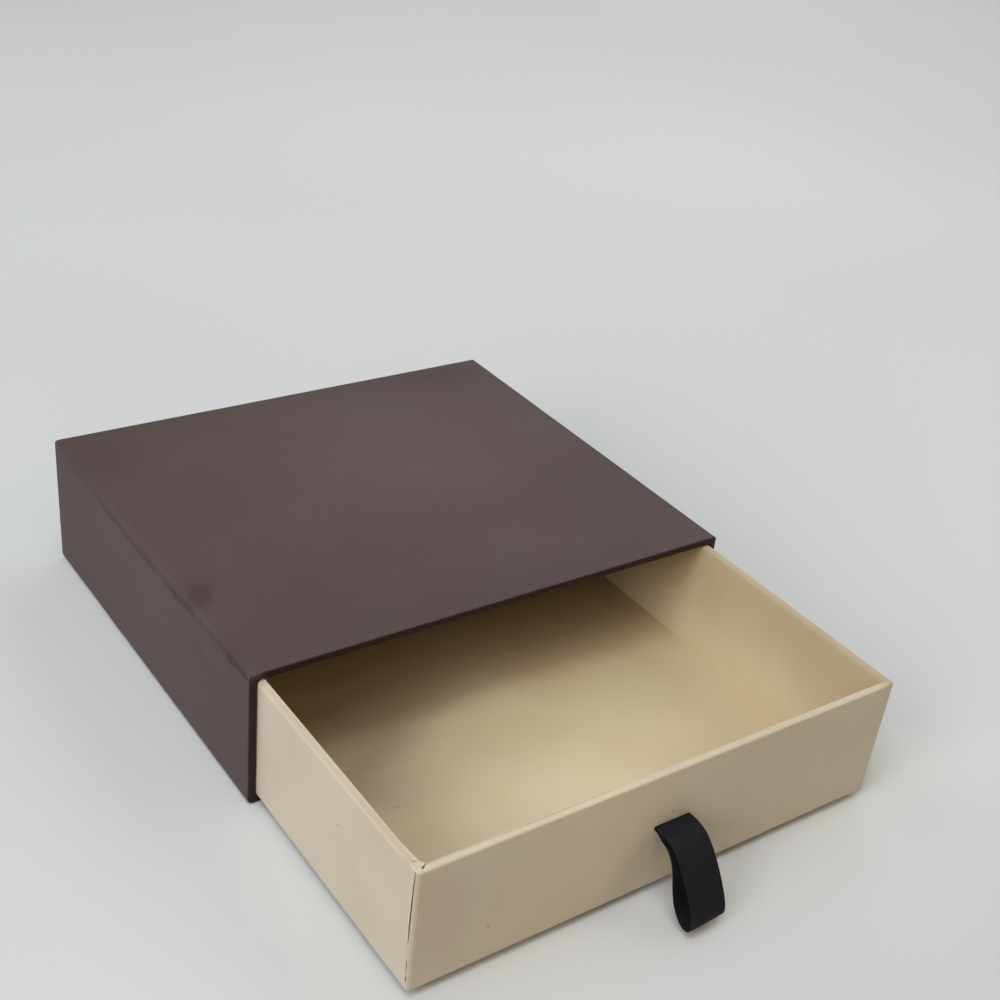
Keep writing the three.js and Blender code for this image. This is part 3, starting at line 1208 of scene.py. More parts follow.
    def _slice(self, bench: Bench) -> None:
        """Cuts the sheet finely enough to carry its unevenness.

        Args:
            bench: The bench with the sheet on it, in edit mode.
        """
        low, high = self.low, self.high
        hem = self.base_radius + 0.2 * MM
        coarse, middling, fine = 3.1 * MM, 1.5 * MM, 0.3 * MM
        bench.slice(Axis.X, hemmed(low.x, high.x, hem, coarse))
        bench.slice(Axis.Y, hemmed(low.y, high.y, hem, middling))
        bench.slice(Axis.Z, hemmed(low.z, high.z, hem, coarse))
        furrow = spread(high.z - 5 * MM, high.z - self.edge_radius, 0.35 * MM)
        bench.slice(Axis.Z, furrow, lambda middle: middle.x < low.x + 0.2 * MM)
        x, y, z = low.x + self.corner_reach, low.y + self.corner_reach, high.z - self.corner_reach

        def corner(middle: Vector) -> bool:
            """Whether a face is part of the mouth's near upper corner."""
            return middle.x < x and middle.y < y and middle.z > z

        bench.slice(Axis.X, spread(low.x + self.edge_radius, x, fine), corner)
        bench.slice(Axis.Y, spread(low.y + self.fold_radius, y, fine), corner)
        bench.slice(Axis.Z, spread(z, high.z - self.edge_radius, fine), corner)

    def build(self, finishes: Finishes) -> list[bpy.types.Object]:
        """Builds the sleeve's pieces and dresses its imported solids.

        Args:
            finishes: The materials.

        Returns:
            The new pieces.
        """
        boards = [f"sleeve_{side}_board" for side in ("top", "base", "left", "right", "back")]
        stays = [f"sleeve_stay_{edge}" for edge in ("top_left", "top_right", "base_left", "base_right")]
        finishes.dress(boards, finishes.greyboard)
        finishes.dress(stays, finishes.tape)
        sheets = ["sleeve_base_sheet", "sleeve_back_sheet", "sleeve_lining"]
        finishes.dress(sheets, finishes.brown)
        return [self.cover(finishes.brown)]


@dataclass(frozen=True)
class CornerSeam:
    """The upright seam at the tray's near left corner, where the side's paper stops short.

    A place along the paper is counted from the line where the side wall turns into the rounded
    corner: backwards along the side wall, and below nought round the corner.
    """

    low: Vector
    high: Vector
    radius: float
    facets: int
    reach: float = 1.8 * MM
    skin: float = 0.8 * MM
    fray: float = 0.015 * MM
    sunk: float = 0.06 * MM
    raised: float = 0.05 * MM
    gap_rows: tuple[tuple[float, ...], ...] = (
        # height in mm, gap in mm
        (4.8, 0.03), (5.3, 0.26), (6.3, 0.26), (6.9, 0.08), (8.2, 0.14), (10.5, 0.18), (12.0, 0.08),
        (15.6, 0.07), (17.5, 0.2), (20.0, 0.34), (25.0, 0.38), (29.0, 0.36), (31.5, 0.26), (33.5, 0.28),
        (35.5, 0.2), (37.2, 0.15), (37.6, 0.04),
    )

    @property
    def dark(self) -> float:
        """How far apart the paper's own lines are round the corner."""
        return self.radius * math.pi / 2 / self.facets

    def unroll(self, place: Vector) -> tuple[float, float]:
        """Finds a point's place along the paper, and how far it lies inside the paper's face.

        Args:
            place: The point.

        Returns:
            Its place along the paper, and its depth.
        """
        x, y = place.x - self.low.x - self.radius, place.y - self.low.y - self.radius
        if y >= 0:
            return y, place.x - self.low.x
        if x >= 0:
            return -self.radius * math.pi / 2 - x, place.y - self.low.y
        return -self.radius * math.atan2(-y, -x), self.radius - math.hypot(x, y)

    def roll(self, along: float, depth: float, height: float) -> Vector:
        """Finds the point that lies at a place along the paper, so far inside and so high.

        Args:
            along: The place along the paper.
            depth: The depth inside the paper's face.
            height: The height.

        Returns:
            The point.
        """
        x, y = self.low.x + self.radius, self.low.y + self.radius
        angle = -along / self.radius
        if along >= 0:
            return Vector((self.low.x + depth, y + along, height))
        if angle >= math.pi / 2:
            return Vector((x - along - self.radius * math.pi / 2, self.low.y + depth, height))
        out = self.radius - depth
        return Vector((x - out * math.cos(angle), y - out * math.sin(angle), height))

    def middle(self, height: float) -> float:
        """The seam's place along the paper, which bows a little."""
        down = (self.high.z - height) / (self.high.z - self.low.z)
        return (0.4 * math.sin(math.pi * down) - 0.1 - 0.2 * down * down) * MM

    def gap(self, height: float) -> float:
        """How wide the seam stands open."""
        return read_along(self.gap_rows, height / MM)[0] * MM

    def shift(self, place: Vector, normal: Vector) -> Vector:
        """Moves the paper's lines at the corner to the seam's two edges.

        Args:
            place: A point of the sheet.
            normal: The sheet's direction there. Not used.

        Returns:
            The point's move.
        """
        along, depth = self.unroll(place)
        if depth > self.skin or abs(along) > self.reach:
            return Vector()
        edge = min(max(along / self.dark, -1.0), 1.0)
        step = self.middle(place.z) + edge * (self.gap(place.z) / 2 - self.dark)
        fade = 1 - ease(abs(along), self.dark, self.reach)
        fade *= 1 - ease(depth, 0.5 * self.skin, self.skin)
        return self.roll(along + step * fade, depth, place.z) - place

    def offset(self, place: Vector) -> float:
        """How far beyond the seam's nearer edge a point lies: above nought on the side wall's side.

        Args:
            place: A point of the sheet.

        Returns:
            The distance, without end for a point well under the paper.
        """
        along, depth = self.unroll(place)
        if depth > self.skin:
            return math.inf
        off = along - self.middle(place.z)
        half = self.gap(place.z) / 2 + self.fray
        return 0.0 if abs(off) <= half else math.copysign(abs(off) - half, off)

    def shaded_gap(self, place: Vector) -> float:
        """Where the seam shows dark: painted shade deep in its open gap."""
        return float(self.offset(place) == 0.0) * ease(self.gap(place.z), 0.04 * MM, 0.17 * MM)

    def torn(self, place: Vector) -> float:
        """Where the side paper's torn edge shows pale.

        Args:
            place: A point of the sheet.

        Returns:
            How pale it is there, from 0 to about 1.
        """
        off = self.offset(place)
        if not 0 < off < 0.3 * MM:
            return 0.0
        upper_half = ease(place.z, 17 * MM, 19 * MM) * (1 - ease(place.z, 30 * MM, 32 * MM))
        return upper_half * (0.7 + 0.6 * ripple((0, 0, place.z), 1.6 * MM, 2.0))

    def lift(self, place: Vector) -> float:
        """How far the paper stands off beside the seam, and sinks in it.

        Args:
            place: A point of the sheet.

        Returns:
            The rise, below nought in the seam.
        """
        off = self.offset(place)
        if off == 0.0:
            return -self.sunk
        above = ease(place.z, self.low.z + 2 * MM, self.low.z + 8 * MM)
        return self.raised * bell(off, 0.6 * MM) * above


@dataclass(frozen=True)
class RimNotch:
    """The cut across the rim at the near left corner, with the side's paper bunched beside it.

    Places are counted from the tray's lowest corner, seen from above.
    """

    low: Vector
    top: float
    cut_start: tuple[float, float] = (3.55 * MM, 2.3 * MM)
    cut_end: tuple[float, float] = (1.72 * MM, 1.12 * MM)
    fleck: tuple[float, float] = (1.8 * MM, 0.7 * MM)
    bunch: tuple[float, float] = (1.05 * MM, 1.8 * MM)
    wrinkle_start: tuple[float, float] = (0.85 * MM, 3.8 * MM)
    wrinkle_end: tuple[float, float] = (1.95 * MM, 3.4 * MM)
    reach: float = 4.4 * MM
    cut_depth: float = 0.1 * MM
    wrinkle_depth: float = 0.05 * MM

    def near(self, place: Vector) -> bool:
        """Whether a point is on the rim by the corner."""
        out = place - self.low
        return out.x < self.reach and out.y < self.reach and place.z > self.top - 1 * MM

    def _at(self, spot: tuple[float, float]) -> Vector:
        """The point over a place counted from the corner."""
        return Vector((self.low.x + spot[0], self.low.y + spot[1], self.top))

    def shaded_gap(self, place: Vector) -> float:
        """Where the cut shows dark with painted shade: a hair inside, a hole at its outer end.

        Args:
            place: A point of the sheet.

        Returns:
            How dark it is there, 0 to 1.
        """
        if not self.near(place):
            return 0.0
        off, share = from_stroke(place, self._at(self.cut_start), self._at(self.cut_end))
        half = (0.06 + 0.14 * ease(share, 0.6, 0.95)) * MM
        return 1 - ease(off, half, half + 0.12 * MM)

    def shaded_crease(self, place: Vector) -> float:
        """Where the side's paper is wrinkled across the rim; the reading sinks the wrinkles and lumps
        and paints shade in them.

        Args:
            place: A point of the sheet.

        Returns:
            How deep the wrinkle is there, 0 to 1.
        """
        if not self.near(place):
            return 0.0
        off, share = from_stroke(place, self._at(self.wrinkle_start), self._at(self.wrinkle_end))
        bunched = bell((place - self._at(self.bunch)).length, 2.4 * MM)
        lumps = 0.35 * ease(ripple(place, 0.8 * MM, 7.0), 0.1, 0.5) * bunched
        wrinkle = 0.8 * (1 - ease(off, 0.08 * MM, 0.3 * MM)) * bell(share - 0.4, 0.9)
        return max(wrinkle, lumps)

    def torn(self, place: Vector) -> float:
        """Where bare paper shows pale: a fleck beyond the cut, and the cut's far lip.

        Args:
            place: A point of the sheet.

        Returns:
            How pale it is there, 0 to 1.
        """
        if not self.near(place):
            return 0.0
        off, _ = from_stroke(place, self._at(self.cut_start), self._at(self.cut_end))
        lip = bell(off - 0.42 * MM, 0.22 * MM) * float(place.x - self.low.x > self.cut_end[0]) * 0.7
        return max(bell((place - self._at(self.fleck)).length, 0.4 * MM), lip)

    def lift(self, place: Vector) -> float:
        """How far the bunched paper stands up, and how far the cut sinks.

        Args:
            place: A point of the sheet.

        Returns:
            The rise, below nought in the cut.
        """
        if not self.near(place):
            return 0.0
        bunched = bell((place - self._at(self.bunch)).length, 2.2 * MM)
        lumps = (0.12 + 0.12 * ripple(place, 1.0 * MM, 3.0)) * MM
        sunk = self.cut_depth * self.shaded_gap(place)
        return bunched * lumps - sunk - self.wrinkle_depth * self.shaded_crease(place)


@dataclass(frozen=True)
class Tray:
    """The cream tray: one sheet of paper round its boards, over the rim and down inside."""

    low: Vector
    high: Vector
    floor: float
    wall: float
    slit_low: Vector
    slit_high: Vector
    lining_top: float
    paper: float = 0.12 * MM
    corner_radius: float = 1.1 * MM
    corner_facets: int = 16
    fold_radius: float = 0.45 * MM
    rim_radius: float = 0.5 * MM
    left_rim_radius: float = 1.3 * MM
    rim_inner_radius: float = 0.35 * MM
    board_paper: float = 0.25 * MM
    stay_drop: float = 1.2 * MM
    gather_radius: float = 2.0 * MM
    gather_lean: float = 0.5 * MM
    gather_reach: float = 9 * MM
    lining_paper: float = 0.08 * MM
    lining_radius: float = 0.6 * MM
    cove: float = 0.15 * MM
    tape: float = 0.1 * MM
    tape_depth: float = 0.13 * MM
    swell: float = 0.03 * MM
    tails_swell: float = 0.52 * MM
    right_strip_brown: float = 0.38
    right_rim_brown: float = 0.35
    right_rim_inner_brown: float = 0.3
    rim_brown: float = 0.05
    left_rim_brown: float = 0.35
    corner_brown: float = 0.3
    shadow_rows: tuple[tuple[float, ...], ...] = (
        # place along the travel, where the painted shadow starts to fade and where it ends, in mm,
        # strength
        (-115, -50, -12, 0.25), (-93, -56, -14, 0.48), (-74, -54, -22, 0.78), (-61, -32, -12, 0.68),
        (-54, -34, 18, 0.62), (-46, -30, 20, 0.36), (-36, -30, 20, 0.04),
    )

    @property
    def seam(self) -> CornerSeam:
        """The seam at the near left corner."""
        return CornerSeam(self.low, self.high, self.corner_radius, self.corner_facets)

    @property
    def notch(self) -> RimNotch:
        """The cut across the rim at the near left corner."""
        return RimNotch(self.low, self.high.z)

    @classmethod
    def from_frame(cls) -> "Tray":
        """Reads the tray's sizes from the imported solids.

        Returns:
            The tray, measured and not built yet.
        """
        low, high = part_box("tray_cover")
        board_low, board_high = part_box("tray_left_board")
        lining_low, lining_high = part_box("tray_wall_lining")
        tails_low, tails_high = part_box("ribbon_tails")
        paper = board_low.x - low.x
        middle = (tails_low.z + tails_high.z) / 2
        half_height = 0.8 * MM
        half_width = tails_high.x + 0.5 * MM
        aside = RibbonPull.aside
        return cls(
            low, high,
            floor=lining_low.z,
            wall=board_high.x - low.x + paper,
            slit_low=Vector((aside - half_width, low.y, middle - half_height)),
            slit_high=Vector((aside + half_width, low.y, middle + half_height)),
            lining_top=lining_high.z,
        )

    def cover(self, material: bpy.types.Material) -> bpy.types.Object:
        """Builds the sheet that covers the boards.

        Args:
            material: The cream paper.

        Returns:
            The piece.
        """
        low, high = self.low, self.high
        bench = Bench.block("tray_paper", low, high)
        with bench.open():
            bench.faces(lambda middle, normal: normal.z > 0.9).inset(self.wall)
            bench.extrude((0, 0, self.floor - high.z)).remove()
            self._round_edges(bench)
            self._slice(bench)
            self._cut_slit(bench)
        bench.press(self.roll_off).press(self.gather).press(self.seam.shift).thicken(self.paper)
        # Painted shade deep in the corner seam's gap and the rim's cut.
        bench.paint("shaded_gap", lambda place: max(self.seam.shaded_gap(place), self.notch.shaded_gap(place)))
        bench.paint("torn", lambda place: max(self.seam.torn(place), self.notch.torn(place)))
        # Painted shade in the rim's wrinkles by the near corner.
        bench.paint("shaded_crease", self.notch.shaded_crease)
        # Painted shade over the rim's top, on the right wall's strip and beside the near corner.
        bench.paint("painted_shade", self.painted_rim_shade)
        bench.press(self.relief).smooth()
        return bench.finish(Body.TRAY, Slot.CREAM, material, "tray_cover")

    def _round_edges(self, bench: Bench) -> None:
        """Rounds the upright corners, then the folds at the base and the rim.

        Args:
            bench: The bench with the sheet on it, in edit mode.
        """
        low, high = self.low, self.high
        middle = (low + high) / 2

        def upright(a: Vector, b: Vector) -> bool:
            """Says whether an edge is one of the four upright ones outside.

            Args:
                a: One end of the edge.
                b: Its other end.

            Returns:
                Whether it is.
            """
            side = all(abs(abs(end.x) - high.x) < TOUCH for end in (a, b))
            front_or_back = min(abs(a.y - low.y), abs(a.y - high.y)) < TOUCH and abs(a.y - b.y) < TOUCH
            return side and front_or_back and abs(a.z - b.z) > 10 * MM

        bench.edges(upright).round(self.corner_radius, self.corner_facets)
        bench.fold(Axis.Z, low.z, middle, outer=True).round(self.fold_radius, 4)
        bench.fold(Axis.Z, high.z, middle, outer=True).round(self.rim_radius, 5)
        bench.fold(Axis.Z, high.z, middle, outer=False).round(self.rim_inner_radius, 5)

    def _slice(self, bench: Bench) -> None:
        """Cuts the sheet finely enough to carry its unevenness, and finest at its corners.

        Args:
            bench: The bench with the sheet on it, in edit mode.
        """
        low, high, seam = self.low, self.high, self.seam
        hem = self.corner_radius + 0.3 * MM
        coarse, middling, fine = 3.1 * MM, 1.5 * MM, 0.2 * MM
        bench.slice(Axis.X, hemmed(low.x, high.x, hem, coarse))
        bench.slice(Axis.Y, hemmed(low.y, high.y, hem, coarse))
        bench.slice(Axis.Z, hemmed(low.z, high.z, hem, middling))
        turn = low.y + self.corner_radius
        beside = [turn + place * MM for place in (0.24, 0.4, 0.6, 0.9, 1.3)]
        bench.slice(
            Axis.Y, [turn + seam.dark, *beside],
            lambda middle: middle.x < low.x + seam.skin and middle.y < turn + 2 * MM,
        )

        def by_seam(middle: Vector) -> bool:
            """Whether a face lies beside the seam, on the outside."""
            along, depth = seam.unroll(middle)
            return abs(along) < seam.reach and depth < 0.1 * MM

        bench.slice(Axis.Z, spread(low.z + hem, high.z - hem, 0.5 * MM), by_seam)
        for axis, start in ((Axis.X, low.x), (Axis.Y, low.y)):
            bench.slice(axis, spread(start + 0.1 * MM, start + self.notch.reach, fine), self.notch.near)
        rolled = spread(self.rim_radius, self.left_rim_radius + 0.1 * MM, 0.12 * MM)
        bench.slice(
            Axis.X, [low.x + depth for depth in rolled],
            lambda middle: middle.x < low.x + 1.6 * MM and middle.z > high.z - 0.1 * MM,
        )
        bench.slice(
            Axis.Z, [high.z - depth for depth in rolled],
            lambda middle: middle.x < low.x + 0.1 * MM and middle.z > high.z - 1.8 * MM,
        )
        lip = [self.lining_top + rise * MM for rise in (0.02, 0.14)]
        bench.slice(
            Axis.Z, lip,
            lambda middle: self._depth_inside(middle) < 0.1 * MM and middle.y < low.y + 12 * MM,
        )

    def _depth_inside(self, place: Vector) -> float:
        """How far a point lies from the well's inner faces, at the near left."""
        return abs(min(place.x - self.low.x, place.y - self.low.y) - self.wall)

    def roll_off(self, place: Vector, normal: Vector) -> Vector:
        """Rounds the left wall's rim well over on its outside, from a little behind the near corner.

        Args:
            place: A point of the sheet.
            normal: The sheet's direction there. Not used.

        Returns:
            The point's move.
        """
        behind = ease(place.y, self.low.y + 1.5 * MM, self.low.y + 9 * MM)
        radius = self.rim_radius + (self.left_rim_radius - self.rim_radius) * behind
        out = Vector((place.x - self.low.x - radius, 0, place.z - self.high.z + radius))
        if out.x >= 0 or out.z <= 0 or out.length <= radius:
            return Vector()
        return out * (radius / out.length - 1)

    def gather(self, place: Vector, normal: Vector) -> Vector:
        """Fills the rim's inner corner at the near left, where the folded paper is bunched.

        Args:
            place: A point of the sheet.
            normal: The sheet's direction there. Not used.

        Returns:
            The point's move.
        """
        above = ease(place.z, self.lining_top, self.lining_top + 0.25 * MM)
        across, behind = place.x - self.low.x - self.wall, place.y - self.low.y - self.wall
        outside = max(-across, -behind)
        share = above * (1 - ease(outside, 0.5 * MM, 1.1 * MM))
        if share <= 0 or outside < -TOUCH:
            return Vector()
        move = Vector()
        if across < TOUCH:
            move.x += self.gather_lean * bell(behind, self.gather_reach)
        radius = self.gather_radius
        out = Vector((radius - across, radius - behind, 0))
        if out.x > 0 and out.y > 0 and out.length > radius + outside:
            move += out * (1 - (radius + outside) / out.length)
        return move * share

    def _cut_slit(self, bench: Bench) -> None:
        """Opens the slit through the front wall's paper, outside and inside.

        Args:
            bench: The bench with the sheet on it, in edit mode.
        """
        outer = self.low.y
        inner = outer + self.wall

        def front(middle: Vector) -> bool:
            """Whether a face is part of the front wall."""
            return min(abs(middle.y - outer), abs(middle.y - inner)) < 0.05 * MM

        bench.slice(Axis.X, [self.slit_low.x, self.slit_high.x], front)
        bench.slice(Axis.Z, [self.slit_low.z, self.slit_high.z], front)
        bench.faces(
            lambda middle, normal: front(middle)
            and self.slit_low.x < middle.x < self.slit_high.x
            and self.slit_low.z < middle.z < self.slit_high.z
        ).remove()

    def painted_rim_shade(self, place: Vector) -> float:
        """How far painted shade darkens the cover: its rim, the right wall's most, and the near corner.

        Args:
            place: A point of the sheet.

        Returns:
            How dark it is there, 0 to 1.
        """
        slack = 0.1 * MM
        above = ease(place.z, self.high.z - 0.9 * MM, self.high.z - 0.15 * MM)
        inward = self.high.x - place.x
        if abs(inward - self.wall) < slack:
            return self.right_strip_brown
        if inward < self.wall:
            inner = ease(inward, 0.3 * MM, 0.9 * MM)
            return (self.right_rim_brown + self.right_rim_inner_brown * inner) * above
        along, depth = self.seam.unroll(place)
        corner = 0.0
        if depth < slack and self.seam.offset(place) < 0:
            corner = self.corner_brown * bell(along + 1 * MM, 1.6 * MM)
        left = self.left_rim_brown * (1 - ease(place.x - self.low.x, 0.9 * MM, 1.7 * MM))
        left *= ease(place.y - self.low.y, 2.6 * MM, 4 * MM)
        return max((self.rim_brown + left) * above, corner)

    def painted_wall_shade(self, place: Vector) -> float:
        """How far painted shade darkens the walls' lining: towards the rim."""
        return 0.04 + 0.35 * ease(place.z, 10 * MM, 31 * MM)

    def browned_floor(self, place: Vector) -> float:
        """How far painted shade darkens the floor's lining: least at the front and in the far left part,
        where it is painted lighter.

        Args:
            place: A point of the sheet.

        Returns:
            How dark it is there, 0 to 1.
        """
        front = ease(-place.y, 62 * MM, 96 * MM) * ease(-place.x, -50 * MM, 0)
        deep = ease(place.y, -80 * MM, -48 * MM) * ease(-place.x, -30 * MM, 12 * MM)
        right = ease(place.x, 44 * MM, 68 * MM)
        return 0.36 - 0.28 * front - 0.34 * deep + 0.08 * right

    def dulled_floor(self, place: Vector) -> float:
        """How far a painted shadow darkens the floor's lining: along the left wall, and under the
        sleeve's mouth.
        """
        start, end, strength = read_along(self.shadow_rows, place.y / MM)
        return strength * (1 - ease(place.x / MM, start, end))

    def relief(self, place: Vector, normal: Vector) -> Vector:
        """The unevenness of the glued paper."""
        push = self.swell * ripple(place, 22 * MM, 2.0)
        return normal * (push + self.seam.lift(place) + self.notch.lift(place))

    def left_board(self, material: bpy.types.Material) -> bpy.types.Object:
        """Builds the left wall's board, whose upper outer edge is crushed round.

        Args:
            material: The board.

        Returns:
            The piece.
        """
        low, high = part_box("tray_left_board")
        bench = Bench.block("tray_left_core", low, high)
        with bench.open():
            bench.edges(
                lambda a, b: max(a.x, b.x) < low.x + TOUCH and min(a.z, b.z) > high.z - TOUCH
            ).round(self.left_rim_radius - self.board_paper, 6)
        bench.smooth()
        return bench.finish(Body.TRAY, Slot.GREYBOARD, material, "tray_left_board")

    def left_stay(self, corner: str, material: bpy.types.Material) -> bpy.types.Object:
        """Builds one of the left corners' stays, cut off short of the rounded rim.

        Args:
            corner: Which corner it is at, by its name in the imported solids.
            material: The tape.

        Returns:
            The piece.
        """
        node = f"tray_stay_{corner}"
        low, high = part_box(node)
        high.z -= self.stay_drop
        side = 1.0 if high.y > (self.low.y + self.high.y) / 2 else -1.0
        bench = Bench.block(node + "_tape", low, high)
        with bench.open():
            bench.faces(lambda middle, normal: normal.x > -0.9 and normal.y * side < 0.9).remove()
            bench.edges(
                lambda a, b: abs(a.z - b.z) > 10 * MM and max(a.x, b.x) < low.x + TOUCH
                and min(a.y * side, b.y * side) > max(low.y * side, high.y * side) - TOUCH
            ).round(self.corner_radius - self.tape_depth, 8)
        bench.thicken(self.tape).smooth()
        return bench.finish(Body.TRAY, Slot.TAPE, material, node)

    def wall_lining(self, material: bpy.types.Material) -> bpy.types.Object:
        """Builds the lining of the four walls, with a low swell over the ribbon's tails.

        Args:
            material: The cream paper.

        Returns:
            The piece.
        """
        low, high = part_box("tray_wall_lining")
        sheet = Vector((self.lining_paper, self.lining_paper, 0))
        low, high = low + sheet, high - sheet
        bench = Bench.block("tray_wall_paper", low, high)
        hem = self.lining_radius + 0.3 * MM
        with bench.open():
            bench.faces(lambda middle, normal: abs(normal.z) > 0.9).remove()
            bench.edges(lambda a, b: abs(a.z - b.z) > 10 * MM).round(self.lining_radius, 5)
            bench.slice(Axis.X, hemmed(low.x, high.x, hem, 1.5 * MM))
            bench.slice(Axis.Y, hemmed(low.y, high.y, hem, 2.5 * MM))
            bench.slice(Axis.Z, spread(low.z, high.z, 1.5 * MM))
            bench.flip()
        tails_low, tails_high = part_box("ribbon_tails")

        def lift(place: Vector, normal: Vector) -> Vector:
            """Lifts the sheet over the ribbon's tails, and lets its upper edge wander.

            Args:
                place: A point of the sheet.
                normal: The sheet's direction there.

            Returns:
                The point's move.
            """
            swell = 0.0
            if place.y < low.y + 0.1 * MM:
                soft = 0.7 * MM
                swell = (
                    ease(place.z, tails_low.z - soft, tails_low.z + 0.1 * MM)
                    * ease(-place.z, -tails_high.z - soft, -tails_high.z + 0.1 * MM)
                    * ease(-abs(place.x), -tails_high.x - soft, -tails_high.x + 0.1 * MM)
                )
            drift = Vector((0, 0, 0.12 * MM * ripple(place, 6 * MM, 5.0)))
            near_top = ease(place.z, high.z - 1.6 * MM, high.z)
            push = self.tails_swell * swell + 0.02 * MM * ripple(place, 9 * MM)
            return normal * push + drift * near_top

        # Painted shade on the walls' lining, more towards the rim.
        bench.thicken(self.lining_paper).paint("painted_shade", self.painted_wall_shade)
        bench.press(lift).smooth()
        return bench.finish(Body.TRAY, Slot.CREAM, material, "tray_wall_lining")

    def floor_lining(self, material: bpy.types.Material) -> bpy.types.Object:
        """Builds the sheet on the tray's floor, a close fit to the walls, with its edges a little up.

        Args:
            material: The cream paper.

        Returns:
            The piece.
        """
        low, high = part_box("tray_floor_lining")
        wall_low, wall_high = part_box("tray_wall_lining")
        play = self.lining_paper + 0.03 * MM
        low.x, high.x = wall_low.x + play, wall_high.x - play
        low.y, high.y = wall_low.y + play, wall_high.y - play
        bench = Bench.block("tray_floor_paper", low, high)
        with bench.open():
            bench.edges(lambda a, b: abs(a.z - b.z) > 0.1 * MM).round(self.lining_radius, 4)
            margins = [share * self.cove for share in (0.06, 0.18, 0.34, 0.54, 0.78, 1.0, 1.3)]
            for axis in (Axis.X, Axis.Y):
                start, stop = low[axis.value] + margins[-1], high[axis.value] - margins[-1]
                near = [low[axis.value] + margin for margin in margins]
                far = [high[axis.value] - margin for margin in margins]
                bench.slice(axis, [*near, *spread(start, stop, 4 * MM), *far])

        def curl(place: Vector, normal: Vector) -> Vector:
            """Curls the sheet up along its edges, over a faint swell.

            Args:
                place: A point of the sheet.
                normal: The sheet's direction there. Not used.

            Returns:
                The point's move.
            """
            edge = min(high.x - abs(place.x), place.y - low.y, high.y - place.y)
            rest = max(self.cove - edge, 0.0)
            rise = self.cove - math.sqrt(max(self.cove ** 2 - rest ** 2, 0.0))
            return Vector((0, 0, rise + 0.04 * MM * ripple(place, 30 * MM, 9.0)))

        # Painted shade on the floor's lining, and a painted shadow along the left wall and under the
        # sleeve's mouth.
        bench.paint("painted_shade", self.browned_floor).paint("floor_shadow", self.dulled_floor)
        bench.press(curl).smooth()
        return bench.finish(Body.TRAY, Slot.CREAM, material, "tray_floor_lining")

    def build(self, finishes: Finishes) -> list[bpy.types.Object]:
        """Builds the tray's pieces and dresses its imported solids.

        Args:
            finishes: The materials.

        Returns:
            The new pieces.
        """
        boards = [f"tray_{side}_board" for side in ("base", "front", "back", "right")]
        stays = [f"tray_stay_{corner}" for corner in ("front_right", "back_right")]
        finishes.dress(boards, finishes.greyboard)
        finishes.dress(stays, finishes.tape)
        return [
            self.left_board(finishes.greyboard),
            self.left_stay("front_left", finishes.tape),
            self.left_stay("back_left", finishes.tape),
            self.cover(finishes.cream),
            self.wall_lining(finishes.lining),
            self.floor_lining(finishes.lining),
        ]


